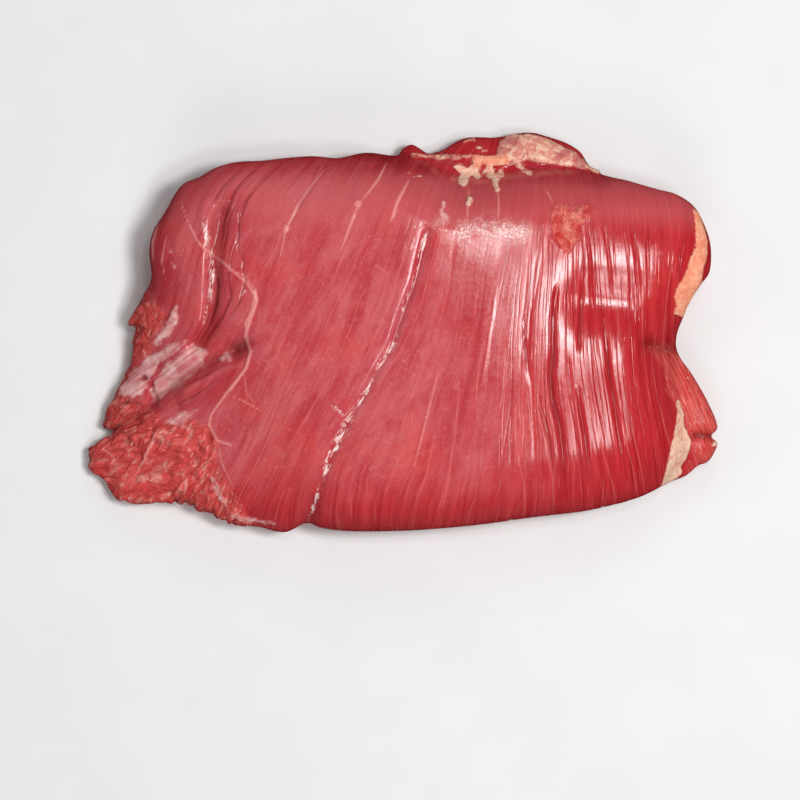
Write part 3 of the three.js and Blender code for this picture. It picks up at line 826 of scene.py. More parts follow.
@dataclass
class SteakSkin:
    """The whole steak as one closed fine mesh."""

    outline: SteakOutline = field(default_factory=SteakOutline)
    form: SteakForm = field(default_factory=SteakForm)
    marks: SteakMarks = field(default_factory=SteakMarks)
    fibres: FibreField = field(default_factory=FibreField)
    heights: ReliefHeights = ReliefHeights()
    columns: int = 400
    rows: int = 176
    side_rings: int = 20
    under_part: int = 4
    under_inset: float = 11.0
    rim_steps: tuple = (0.15, 0.4, 0.8, 1.3, 2, 2.8, 3.7, 4.7, 5.8, 7, 8.3, 9.7, 11.2)
    corner_reach: tuple = (4, 18)
    corner_smoothing: int = 14
    torn_fray: tuple = (2.0, 7)
    fat_fray: tuple = (0.9, 3.0)
    skin_fray: tuple = (0.7, 2.5)
    field_limit: float = 6

    _rim_parts: list = field(init=False, default_factory=list)

    def build(self) -> bpy.types.Object:
        """Make the mesh, its relief and its marks.

        Returns:
            The steak's object, in metres.
        """
        stretches = self.outline.stretches()
        lattice = PlanLattice(stretches, self.columns, self.rows)
        self._rim_parts = [
            stretches[Side.BOTTOM], stretches[Side.RIGHT], stretches[Side.TOP][::-1],
            stretches[Side.LEFT][::-1],
        ]
        rim_line = np.vstack(self._rim_parts)
        shares_p = self._crowded(self.columns, self.outline.length)
        shares_q = self._crowded(self.rows, self.outline.width)
        top = self._top(lattice, rim_line, shares_p, shares_q)
        sides, unrolled, stations = self._sides(lattice, top, shares_p, shares_q)
        under = self._under(lattice)
        places = np.vstack([top, sides.reshape(-1, 3), under])
        plan = np.vstack([top[:, :2], unrolled.reshape(-1, 2), under[:, :2]])
        faces, maps = self._faces(places, sides, stations, len(top))
        places = self._relieved(places, plan, faces, len(top), sides.shape)
        return self._object(places, plan, faces, maps)

    def _crowded(self, count: int, span: float) -> Field:
        """Shares from 0 to 1 that crowd towards both ends, where the rim turns down.

        Args:
            count: How many cells there are.
            span: Length that they cover.

        Returns:
            One more share than there are cells.
        """
        rim = np.array(self.rim_steps) / span
        even = np.linspace(rim[-1], 1 - rim[-1], count - 2 * len(rim) + 1)
        return np.concatenate([[0], rim[:-1], even, 1 - rim[:-1][::-1], [1]])

    def _top(self, lattice: PlanLattice, rim: Points, p: Field, q: Field) -> np.ndarray:
        """Places of the top sheet, column by column.

        Args:
            lattice: Lattice of plan points.
            rim: Points of the rim.
            p: Shares from left to right.
            q: Shares from bottom to top.

        Returns:
            One place for each pair of shares.
        """
        grid_p, grid_q = (part.ravel() for part in np.meshgrid(p, q, indexing="ij"))
        plan = lattice.point(grid_p, grid_q)
        on_rim = (grid_p == 0) | (grid_p == 1) | (grid_q == 0) | (grid_q == 1)
        inward = np.minimum(1, path_distance(plan, rim[::4]) / self.form.rim_reach)
        inward[on_rim] = 0
        body = self.form.body_height(plan)
        low = self.form.rim_height(body, grid_q < 0.5)
        high = body + self._forms(plan)
        height = low + (high - low) * np.sqrt(1 - (1 - inward) ** self.form.rim_power)
        return np.column_stack([plan, height])

    def _forms(self, plan: Points) -> Field:
        """Height of the main creases and lumps over plan points.

        Args:
            plan: Plan points.

        Returns:
            One height for each point.
        """
        marks = self.marks
        height = np.zeros(len(plan))
        for stroke in (
            marks.left_fold, marks.fold_pit, marks.cleft, marks.notch, marks.valley,
            marks.corner_slit, marks.seam, marks.seam_dent,
        ):
            height += stroke.relief(plan)
        return height

    def _sides(
        self, lattice: PlanLattice, top: np.ndarray, p: Field, q: Field
    ) -> tuple[np.ndarray, np.ndarray, np.ndarray]:
        """Rings of the side from the rim down, their unrolled plan places and rim stations.

        Args:
            lattice: Lattice of plan points.
            top: Places of the top sheet.
            p: Shares from left to right.
            q: Shares from bottom to top.

        Returns:
            The rings, their plan places laid out flat, and the stations of the rim.
        """
        across, up = np.arange(self.columns), np.arange(self.rows)
        i = np.concatenate([across, np.full(self.rows, self.columns), across[::-1] + 1, up * 0])
        j = np.concatenate([across * 0, up, np.full(self.columns, self.rows), up[::-1] + 1])
        stations = i * (self.rows + 1) + j
        rim = top[stations]
        share_p, share_q = p[i], q[j]
        ahead, behind = np.roll(rim[:, :2], -3, 0), np.roll(rim[:, :2], 3, 0)
        run = ahead - behind
        outward = np.column_stack([run[:, 1], -run[:, 0]]) / np.hypot(*run.T)[:, None]
        body = self.form.body_height(rim[:, :2])
        layered = self.form.layering(body, j == 0)
        thin = np.minimum(1, rim[:, 2] / self.form.full_inset_height)
        along_x = np.minimum(share_p, 1 - share_p) * self.outline.length
        along_y = np.minimum(share_q, 1 - share_q) * self.outline.width
        corner = (1 - smoothstep(np.maximum(along_x, along_y), *self.corner_reach))[:, None]
        rings, unrolled = [], []
        travelled = np.zeros(len(rim))
        last = rim
        for t in np.linspace(0, 1, self.side_rings + 1)[1:]:
            inset = thin * self.form.side_inset(t, layered)
            shrink_p, shrink_q = inset / self.outline.length, inset / self.outline.width
            plan = lattice.point(
                shrink_p + share_p * (1 - 2 * shrink_p), shrink_q + share_q * (1 - 2 * shrink_q)
            )
            square = rim[:, :2] - outward * inset[:, None]
            plan = plan + (square - plan) * corner
            for _ in range(round(self.corner_smoothing * t)):
                plan = (np.roll(plan, 1, 0) + 2 * plan + np.roll(plan, -1, 0)) / 4
            ring = np.column_stack([plan, rim[:, 2] * (1 - t)])
            travelled = travelled + np.linalg.norm(ring - last, axis=1)
            rings.append(ring)
            unrolled.append(rim[:, :2] + outward * travelled[:, None])
            last = ring
        return np.array(rings), np.array(unrolled), stations

    def _under(self, lattice: PlanLattice) -> np.ndarray:
        """Places of the underside's coarse sheet, which barely lifts off the surface.

        Args:
            lattice: Lattice of plan points.

        Returns:
            One place for each node of the sheet.
        """
        shrink_p = self.under_inset / self.outline.length
        shrink_q = self.under_inset / self.outline.width
        p = shrink_p + np.linspace(0, 1, self.columns // self.under_part + 1) * (1 - 2 * shrink_p)
        q = shrink_q + np.linspace(0, 1, self.rows // self.under_part + 1) * (1 - 2 * shrink_q)
        plan = lattice.point(*np.meshgrid(p, q, indexing="ij")).reshape(-1, 2)
        across, along = self.fibres.coordinates(plan)
        lift = self.heights.under * Grain(31).layered(across / 5, along / 24) ** 2
        return np.column_stack([plan, lift])

    def _faces(
        self, places: np.ndarray, sides: np.ndarray, stations: np.ndarray, top_count: int
    ) -> tuple[np.ndarray, np.ndarray]:
        """Corners of every face, with a triangle's last one repeated, and their map places.

        Args:
            places: Places of all vertices.
            sides: Rings of the side.
            stations: Top places that the rim runs through.
            top_count: How many places the top sheet has.

        Returns:
            The corners and the map places.
        """
        step = self.rows + 1
        i, j = (part.ravel() for part in np.meshgrid(
            np.arange(self.columns), np.arange(self.rows), indexing="ij"))
        first = i * step + j
        top = np.column_stack([first, first + step, first + step + 1, first + 1])
        top_map = places[top][:, :, :2] * MAP_SCALE + MAP_TOP_CENTRE

        rings, around = sides.shape[:2]
        k = np.arange(around)
        upper = np.vstack([stations, top_count + np.arange(rings * around).reshape(rings, around)])
        wall = np.concatenate([
            np.column_stack([low[k], low[(k + 1) % around], high[(k + 1) % around], high[k]])
            for high, low in zip(upper[:-1], upper[1:])
        ])
        wall_map = self._wall_map(places[stations], rings, around)

        under_start = top_count + rings * around
        step = self.rows // self.under_part + 1
        columns = self.columns // self.under_part
        i, j = (part.ravel() for part in np.meshgrid(
            np.arange(columns), np.arange(step - 1), indexing="ij"))
        first = under_start + i * step + j
        under = np.column_stack([first, first + 1, first + step + 1, first + step])
        across, up = np.arange(columns), np.arange(step - 1)
        ring = under_start + np.concatenate([
            across * step, columns * step + up, (across[::-1] + 1) * step + step - 1, up[::-1] + 1,
        ])
        outer = upper[-1]
        stitch = []
        for n, corner in enumerate(ring):
            fine = [outer[(n * self.under_part + m) % around] for m in range(self.under_part + 1)]
            following = ring[(n + 1) % len(ring)]
            half = self.under_part // 2
            for m in range(self.under_part):
                stitch.append((fine[m + 1], fine[m], corner if m < half else following, -1))
            stitch.append((corner, following, fine[half], -1))
        stitch = np.array(stitch)
        stitch[:, 3] = stitch[:, 2]
        bottom = np.vstack([under, stitch])
        bottom_map = places[bottom][:, :, :2] * MAP_UNDER_SCALE + MAP_UNDER_CENTRE
        return np.vstack([top, wall, bottom]), np.vstack([top_map, wall_map, bottom_map])

    @staticmethod
    def _wall_map(rim: np.ndarray, rings: int, around: int) -> np.ndarray:
        """Map places of the side's faces, in four strips under the top's own place.

        Args:
            rim: Places of the rim.
            rings: How many rings the side has.
            around: How many places a ring has.

        Returns:
            The map places of each face's corners.
        """
        runs = np.hypot(*(np.roll(rim, -1, 0) - rim)[:, :2].T)
        reach = np.concatenate([[0], np.cumsum(runs)])
        strip = np.minimum((np.arange(around) * MAP_STRIPS) // around, MAP_STRIPS - 1)
        starts = np.array([reach[(strip == s).argmax()] for s in range(MAP_STRIPS)])
        left = (reach[:-1] - starts[strip]) * MAP_SCALE[0] + MAP_MARGIN
        right = (reach[1:] - starts[strip]) * MAP_SCALE[0] + MAP_MARGIN
        base = MAP_MARGIN + strip * MAP_STRIP_HEIGHT
        maps = []
        for ring in range(rings):
            high = base + (1 - ring / rings) * MAP_STRIP_FILL
            low = base + (1 - (ring + 1) / rings) * MAP_STRIP_FILL
            maps.append(np.stack([
                np.column_stack([left, low]), np.column_stack([right, low]),
                np.column_stack([right, high]), np.column_stack([left, high]),
            ], axis=1))
        return np.concatenate(maps)

    def _relieved(
        self, places: np.ndarray, plan: Points, faces: np.ndarray, top_count: int, shape: tuple
    ) -> np.ndarray:
        """Move every place along its normal by the fine relief.

        Args:
            places: Places of all vertices.
            plan: Plan point of each.
            faces: Corners of every face.
            top_count: How many places the top sheet has.
            shape: How many rings the side has, and places in a ring.

        Returns:
            The moved places.
        """
        normals = self._normals(places, faces)
        relief = self._fine_relief(plan)
        under_start = top_count + shape[0] * shape[1]
        relief[under_start:] = 0
        depth = np.repeat(np.arange(1, shape[0] + 1) / shape[0], shape[1])
        relief[top_count:under_start] *= 1 - smoothstep(depth, 0.8, 1.0)
        moved = places + normals * relief[:, None]
        moved[:, 2] = np.maximum(moved[:, 2], 0)
        return moved

    @staticmethod
    def _normals(places: np.ndarray, faces: np.ndarray) -> np.ndarray:
        """Unit normals at the places, as the mean over the faces round each.

        Args:
            places: Places of all vertices.
            faces: Corners of every face.

        Returns:
            One normal for each place.
        """
        corners = places[faces]
        flat = np.cross(corners[:, 2] - corners[:, 0], corners[:, 3] - corners[:, 1])
        flat = np.where(
            (faces[:, 2] == faces[:, 3])[:, None],
            np.cross(corners[:, 1] - corners[:, 0], corners[:, 2] - corners[:, 0]), flat,
        )
        normals = np.zeros_like(places)
        for corner in range(4):
            np.add.at(normals, faces[:, corner], flat)
        return normals / np.maximum(np.linalg.norm(normals, axis=1, keepdims=True), 1e-12)

    def _fine_relief(self, plan: Points) -> Field:
        """Height of fibres, strands, fat lumps and tears over plan points.

        Args:
            plan: Plan points.

        Returns:
            One height for each point.
        """
        marks, size = self.marks, self.heights
        x, y = plan.T
        across, along = self.fibres.coordinates(plan)
        torn, membrane = self.torn_depth(plan), self.membrane_share(plan)
        fat, skin = self.fat_depth(plan), self.skin_depth(plan)
        covered = smoothstep(np.maximum(fat, skin), -0.4, 0.6)
        bare = (1 - covered) * (1 - smoothstep(torn, -2, 2))
        height = bare * self._muscle_relief(across, along, x, y, membrane)
        for stroke in (
            marks.tendon, marks.tendon_wide, *marks.tendon_branches, *marks.grain_fat,
            *marks.grooves, marks.flap_cord, marks.peach_lobe, marks.fat_dot, marks.skin_hole,
            marks.skin_knob, marks.scuff_pale, marks.fold_roll, *marks.wrinkles,
        ):
            height += stroke.relief(plan)
        shreds, ribbons = self._shreds(plan)
        ragged = smoothstep(torn, -1.5, 2.5)
        clods = Grain(53).layered(x / 4.0, y / 3.2, 3) - 0.5
        torn_height = size.shred * (shreds - 0.4) + size.ribbon * (ribbons - 0.4)
        height += ragged * (torn_height + size.clod * clods)
        lumps = Grain(23).layered(x / 4.2, y / 3.1, 3)
        height += smoothstep(fat, -0.3, 0.8) * (size.fat + size.fat_lump * (lumps - 0.4))
        threads = Grain(26).layered(across / 1.6, along / 16, 2)
        height += smoothstep(skin, -0.3, 0.8) * (size.skin + size.skin_thread * (threads - 0.5))
        scuff = smoothstep(marks.scuff.depth(plan), -1, 1.2)
        height += scuff * size.scuff * (Grain(24).layered(x / 2.4, y / 2.0, 3) - 0.45)
        return height

    def _muscle_relief(
        self, across: Field, along: Field, x: Field, y: Field, membrane: Field
    ) -> Field:
        """Height of bare muscle: flat bundles of fibres with narrow furrows between them.

        Args:
            across: Millimetres across the fibres.
            along: Millimetres along them.
            x: Plan places along X.
            y: Plan places along Y.
            membrane: Share of membrane at each.

        Returns:
            One height for each place.
        """
        size = self.heights
        sway = 1.2 * Grain(5).value(across / 9, along / 30)
        swell = Grain(11).value(across / 13, along / 60) - 0.5
        bundle = Grain(12).value(across / 4.2 + sway, along / 38) - 0.5
        furrows = size.furrow * Grain(13).lines(across, along, 8.5, 34, 0.45, 0.45)
        furrows += size.fine_furrow * Grain(16).lines(across, along, 4.1, 20, 0.4, 0.45)
        clouds = Grain(15).layered(x / 16, y / 12, 2) - 0.5
        height = size.swell * swell + size.bundle * bundle + size.cloud * membrane * clouds
        return height - self.ribbed_share(x, y) * furrows

    @staticmethod
    def ribbed_share(x: Field, y: Field) -> Field:
        """Share of open grooves: most on the right half, few under membrane."""
        right = smoothstep(x - 0.22 * y, 32, 46) * (1 - 0.85 * smoothstep(y, 28, 40))
        return 0.08 + 0.92 * right

    def _shreds(self, plan: Points) -> tuple[Field, Field]:
        """Long torn shreds and the thin ribbons on them, 0 down in the crevices.

        Args:
            plan: Plan points.

        Returns:
            Heights of the shreds and of the ribbons, from 0 to 1.
        """
        x, y = plan.T
        push = 3 * (Grain(51).layered(x / 8, y / 8, 2) - 0.5)
        rise = 5 * (Grain(52).layered(x / 10, y / 10, 2) - 0.5)
        across, along = self.fibres.coordinates(plan)
        across, along = across + push, along + rise
        shreds = 2 * np.abs(Grain(21).value(across / 3.4, along / 6.5) - 0.5)
        ribbons = 2 * np.abs(Grain(22).value(across / 1.5, along / 4) - 0.5)
        return smoothstep(shreds, 0.0, 0.6), smoothstep(ribbons, 0.0, 0.7)

    def torn_depth(self, plan: Points) -> Field:
        """How deep plan points lie in torn meat, in millimetres."""
        warped = self._warped(plan, *self.torn_fray)
        return np.maximum(self.marks.torn_left.depth(warped), self.marks.torn_lobe.depth(warped))

    def crevice_shade_share(self, plan: Points) -> Field:
        """Share of painted shade in the crevices between the shreds of torn meat.

        Args:
            plan: Plan points.

        Returns:
            One share for each point.
        """
        shreds, ribbons = self._shreds(plan)
        depth = np.maximum(1 - shreds / 0.4, 0.5 * (1 - ribbons / 0.4))
        return np.clip(depth, 0, 1) * smoothstep(self.torn_depth(plan), -1.5, 2.5)

    def membrane_share(self, plan: Points) -> Field:
        """Share of thin pink membrane over the muscle, strongest on the left half.

        Args:
            plan: Plan points.

        Returns:
            One share for each point.
        """
        x, y = plan.T
        left = (1 - smoothstep(x + 0.45 * y, -10, 56)) * (1 - smoothstep(y, 54, 60))
        low = 1 - 0.8 * smoothstep(-y, 40, 60)
        return left * low

    def fat_depth(self, plan: Points) -> Field:
        """How deep plan points lie in fat, in millimetres.

        Args:
            plan: Plan points.

        Returns:
            One depth for each point.
        """
        warped = self._warped(plan, *self.fat_fray)
        marks = self.marks
        return np.maximum.reduce([
            marks.flap_fat.depth(warped), marks.flap_left_fat.depth(warped) - 0.3,
            *(run.depth(warped) for run in marks.fat_runs), marks.right_strip.depth(plan),
            marks.low_stripe.depth(plan), marks.tip_fat.depth(plan),
            marks.flap_cord.depth(plan), marks.peach_lobe.depth(plan), marks.fat_dot.depth(plan),
        ])

    def skin_depth(self, plan: Points) -> Field:
        """How deep plan points lie in silver skin, in millimetres.

        Args:
            plan: Plan points.

        Returns:
            One depth for each point.
        """
        warped = self._warped(plan, *self.skin_fray)
        marks = self.marks
        skin = np.maximum.reduce([
            marks.skin_strip.depth(warped), marks.skin_band.depth(warped),
            marks.skin_patch.depth(warped), marks.skin_small.depth(warped),
            marks.skin_low.depth(warped) - 0.6,
            marks.skin_fringe.depth(warped) - 0.5,
            marks.skin_knob.depth(plan), marks.scuff_pale.depth(warped) - 1.0,
        ])
        return np.minimum(skin, -marks.skin_hole.depth(plan))

    def strand_depth(self, plan: Points) -> Field:
        """How deep plan points lie in pale strands and thin lines of fat, in millimetres.

        Args:
            plan: Plan points.

        Returns:
            One depth for each point.
        """
        marks = self.marks
        return np.maximum.reduce([
            stroke.depth(plan) for stroke in (
                marks.tendon, marks.tendon_wide, *marks.tendon_branches, *marks.grain_fat,
            )
        ])

    def painted_glint_depth(self, plan: Points) -> Field:
        """How deep plan points lie in the strips of painted white highlight, in millimetres."""
        return np.maximum.reduce([stroke.depth(plan) for stroke in self.marks.glint_strips])

    def crease_shade_share(self, plan: Points) -> Field:
        """Share of painted shade in the creases, the pit, the notch, the seam and the grooves, and
        a little at the upper left.

        Args:
            plan: Plan points.

        Returns:
            One share for each point.
        """
        marks = self.marks
        shade = np.zeros(len(plan))
        for stroke, strength, spread in (
            (marks.left_fold, 0.45, 0.5), (marks.fold_pit, 0.7, 0.75), (marks.cleft, 0.6, 0.8),
            *((wrinkle, 0.6, 1.0) for wrinkle in marks.wrinkles),
            (marks.notch, 0.6, 0.7), (marks.corner_slit, 0.9, 0.9), (marks.skin_hole, 1, 1.2),
            (marks.seam, 0.3, 0.6), *((groove, 0.7, 0.8) for groove in marks.grooves),
            (marks.left_shade, 0.12, 0.7),
        ):
            shade = np.maximum(shade, strength * stroke.shade(plan, spread))
        return shade

    def shade_red_share(self, plan: Points) -> Field:
        """Share of painted shade, in deeper red, where the body turns down under the flap, at the
        upper left and beside the creases there.

        Args:
            plan: Plan points.

        Returns:
            One share for each point.
        """
        marks = self.marks
        upper = 0.7 * smoothstep(plan[:, 1], 46, 57) * (1 - smoothstep(plan[:, 0], 0, 20))
        return np.maximum.reduce([
            *(0.6 * run.shade(plan, 1.0) for run in marks.shade_red_runs),
            0.6 * marks.flap_shade.shade(plan, 0.9), 0.8 * marks.left_shade.shade(plan, 1.0), upper,
        ])

    def crinkle_share(self, plan: Points) -> Field:
        """Share of crinkled membrane, whose glitter is painted in as white highlights."""
        return np.maximum.reduce([stroke.shade(plan, 1.0) for stroke in self.marks.crinkles])

    def rim_shade_share(self, plan: Points) -> Field:
        """Share of painted shade round the rim and down the side, where the surface turns away from
        the light.

        Args:
            plan: Plan points.

        Returns:
            One share for each point.
        """
        rim_line = np.vstack([part[:-1:6] for part in self._rim_parts])
        inward = Patch(rim_line).depth(plan)
        return 1 - smoothstep(inward, -2, 11)

    def peach_share(self, plan: Points) -> Field:
        """Share of warm peach in the fat: the right strip and the lobe on the flap.

        Args:
            plan: Plan points.

        Returns:
            One share for each point.
        """
        marks = self.marks
        strip = smoothstep(marks.right_strip.depth(plan), -2, 0)
        return np.maximum(strip, smoothstep(marks.peach_lobe.depth(plan), -0.8, 0))

    @staticmethod
    def _warped(plan: Points, reach: float, size: float) -> Points:
        """Plan points pushed about by noise, so that a patch drawn over them has a live edge.

        Args:
            plan: Plan points.
            reach: How far a point may be pushed.
            size: Size of the noise's lumps.

        Returns:
            The pushed points.
        """
        x, y = plan.T
        push_x = Grain(41).layered(x / size, y / size, 2) - 0.5
        push_y = Grain(42).layered(x / size, y / size, 2) - 0.5
        return plan + 2 * reach * np.column_stack([push_x, push_y])

    def _object(
        self, places: np.ndarray, plan: Points, faces: np.ndarray, maps: np.ndarray
    ) -> bpy.types.Object:
        """Write the mesh, its map and its fields into a new object.

        Args:
            places: Places of the vertices, in millimetres.
            plan: The unrolled plan point of each vertex.
            faces: Corners of each face, a triangle's last one repeated.
            maps: Map places of each face's corners.

        Returns:
            The new object, in metres.
        """
        sizes = np.where(faces[:, 2] == faces[:, 3], 3, 4)
        used = np.arange(4)[None, :] < sizes[:, None]
        mesh = bpy.data.meshes.new("flank_steak_skin")
        mesh.vertices.add(len(places))
        mesh.vertices.foreach_set("co", (places * MM).astype(np.float32).ravel())
        mesh.loops.add(int(sizes.sum()))
        mesh.loops.foreach_set("vertex_index", faces[used].astype(np.int32))
        mesh.polygons.add(len(faces))
        starts = np.concatenate([[0], np.cumsum(sizes)[:-1]])
        mesh.polygons.foreach_set("loop_start", starts.astype(np.int32))
        mesh.polygons.foreach_set("use_smooth", np.ones(len(faces), bool))
        mesh.update(calc_edges=True)
        mesh.validate()
        layer = mesh.uv_layers.new(name="OFBake")
        layer.data.foreach_set("uv", maps[used].astype(np.float32).ravel())
        attribute = mesh.attributes.new("fibre", "FLOAT_VECTOR", "POINT")
        attribute.data.foreach_set("vector", self._fibre_places(plan).astype(np.float32).ravel())
        for name, values in self._fields(plan).items():
            values = np.clip(values, -self.field_limit, self.field_limit)
            attribute = mesh.attributes.new(name, "FLOAT", "POINT")
            attribute.data.foreach_set("value", values.astype(np.float32))
        obj = bpy.data.objects.new("flank_steak_skin", mesh)
        bpy.context.scene.collection.objects.link(obj)
        return obj

    def _fibre_places(self, plan: Points) -> np.ndarray:
        """Give plan points their fibre coordinates, with the drift that breaks long stripes.

        Args:
            plan: Plan points.

        Returns:
            Millimetres across and along the fibres, and 0, for each point.
        """
        across, along = self.fibres.coordinates(plan)
        x, y = plan.T
        drift = 2.0 * (Grain(61).layered(x / 17, y / 19, 2) - 0.5)
        drift += 0.3 * (Grain(62).layered(x / 4, y / 6, 2) - 0.5)
        across = across + drift * (0.35 + 0.65 * self.membrane_share(plan))
        return np.column_stack([across, along, np.zeros(len(plan))])

    def _fields(self, plan: Points) -> dict[str, Field]:
        """Work out every field that the finish reads.

        Args:
            plan: Plan points.

        Returns:
            Depths in millimetres and shares from 0 to 1, by the field's name.
        """
        x, y = plan.T
        marks = self.marks
        warped = self._warped(plan, *self.fat_fray)
        return {
            "fat": self.fat_depth(plan), "skin": self.skin_depth(plan),
            "strand": self.strand_depth(plan), "painted_glint": self.painted_glint_depth(plan),
            "torn": self.torn_depth(plan), "scuff": marks.scuff.depth(plan),
            "streaky": marks.torn_right.depth(self._warped(plan, *self.torn_fray)),
            "membrane": self.membrane_share(plan), "deep": self.crease_shade_share(plan),
            "peach": self.peach_share(plan), "crevice_shade": self.crevice_shade_share(plan),
            "crinkle": self.crinkle_share(plan), "rim": self.rim_shade_share(plan),
            "shade_red": self.shade_red_share(plan), "blush": smoothstep(y, 50, 57),
            "ribbed": self.ribbed_share(x, y), "crumple": marks.crumple.shade(plan, 1),
            "rosy": smoothstep(y, 30, 40) * (1 - smoothstep(y, 50, 54)),
            "plum": np.maximum(*(film.depth(warped) for film in marks.plum_film)),
        }


# Places on the square texture map: the top above, the side in strips below
MAP_SCALE = np.array([0.78, 0.78]) / 209.5
MAP_TOP_CENTRE = np.array([0.4, 0.74])
MAP_UNDER_SCALE = np.array([0.36, 0.36]) / 209.5
MAP_UNDER_CENTRE = np.array([0.81, 0.2])
MAP_MARGIN = 0.01
MAP_STRIPS = 4
MAP_STRIP_HEIGHT = 0.12
MAP_STRIP_FILL = 0.105


def tint(red: int, green: int, blue: int) -> tuple[float, float, float, float]:
    """Turn a screen colour into the linear colour that shaders take.

    Args:
        red: From 0 to 255.
        green: From 0 to 255.
        blue: From 0 to 255.

    Returns:
        The linear colour, with an alpha of 1.
    """
    channels = []
    for channel in (red, green, blue):
        share = channel / 255
        linear = share / 12.92 if share <= 0.04045 else ((share + 0.055) / 1.055) ** 2.4
        channels.append(linear)
    return (*channels, 1.0)


class NodeBench:
    """Short ways to place and join shader nodes in one tree."""

    def __init__(self, tree: bpy.types.NodeTree) -> None:
        """Work on one tree."""
        self.tree = tree

    def add(self, kind: str, **settings: object) -> bpy.types.Node:
        """Add a node with some of its settings."""
        node = self.tree.nodes.new(kind)
        for name, value in settings.items():
            setattr(node, name, value)
        return node

    def put(self, node: bpy.types.Node, **inputs: object) -> bpy.types.Node:
        """Set or link a node's inputs, with spaces in their names written as underscores."""
        for name, value in inputs.items():
            self.feed(node.inputs[name.replace("_", " ")], value)
        return node

    def feed(self, socket: Socket, value: object) -> None:
        """Link a socket to another, or set its value."""
        if isinstance(value, Socket):
            self.tree.links.new(value, socket)
        else:
            socket.default_value = value

    def math(self, operation: str, *values: object, clamp: bool = False) -> Socket:
        """Place a Math node and return its result."""
        node = self.add("ShaderNodeMath", operation=operation, use_clamp=clamp)
        for socket, value in zip(node.inputs, values):
            self.feed(socket, value)
        return node.outputs[0]

    def joined(self, x: object, y: object, z: object = 0.0) -> Socket:
        """Join numbers into a vector."""
        return self.put(self.add("ShaderNodeCombineXYZ"), X=x, Y=y, Z=z).outputs[0]

    def parted(self, vector: Socket) -> tuple[Socket, Socket]:
        """Part a vector into its first two numbers."""
        node = self.put(self.add("ShaderNodeSeparateXYZ"), Vector=vector)
        return node.outputs["X"], node.outputs["Y"]

    def thinned(self, gap: Socket, width: Socket) -> Socket:
        """Draw a line that fades from 1 in its middle to 0 at its width."""
        return self.math("SUBTRACT", 1.0, self.math("DIVIDE", gap, width), clamp=True)

    def times(self, *values: object) -> Socket:
        """Multiply values."""
        return functools.reduce(functools.partial(self.math, "MULTIPLY"), values)

    def plus(self, *values: object) -> Socket:
        """Add values up."""
        return functools.reduce(functools.partial(self.math, "ADD"), values)

    def most(self, *values: object) -> Socket:
        """Take the largest of some values."""
        return functools.reduce(functools.partial(self.math, "MAXIMUM"), values)

    def ease(self, value: object, low: float, high: float, start: float = 0.0,
             end: float = 1.0) -> Socket:
        """Place a smooth Map Range node and return its result."""
        node = self.add("ShaderNodeMapRange", interpolation_type="SMOOTHSTEP")
        self.put(node, Value=value, From_Min=low, From_Max=high, To_Min=start, To_Max=end)
        return node.outputs["Result"]

    def mix(self, share: object, first: object, second: object) -> Socket:
        """Place a colour Mix node and return its result."""
        node = self.add("ShaderNodeMix", data_type="RGBA")
        for socket, value in zip((node.inputs[0], node.inputs[6], node.inputs[7]),
                                 (share, first, second)):
            self.feed(socket, value)
        return node.outputs[2]

    def coats(self, base: object, *coats: tuple[object, object]) -> Socket:
        """Lay coats over a base in order, each a pair of its share and its colour."""
        for share, colour in coats:
            base = self.mix(share, base, colour)
        return base

    def noise(self, vector: object, scale: float, detail: float = 2.0, roughness: float = 0.5,
              distortion: float = 0.0) -> Socket:
        """Place a Noise Texture node and return its value."""
        node = self.add("ShaderNodeTexNoise")
        self.put(node, Vector=vector, Scale=scale, Detail=detail, Roughness=roughness,
                 Distortion=distortion)
        return node.outputs[0]

    def turned(self, place: Socket, degrees: float) -> Socket:
        """Turn places in metres about the upright axis and return them in millimetres."""
        turn = self.add("ShaderNodeVectorRotate", rotation_type="Z_AXIS")
        self.put(turn, Vector=place, Angle=math.radians(degrees))
        scaled = self.add("ShaderNodeVectorMath", operation="SCALE")
        self.put(scaled, Vector=turn.outputs[0], Scale=1 / MM)
        return scaled.outputs[0]

    def field(self, name: str, vector: bool = False) -> Socket:
        """Read a field that the mesh keeps at its vertices."""
        node = self.add("ShaderNodeAttribute", attribute_name=name)
        return node.outputs["Vector" if vector else "Fac"]


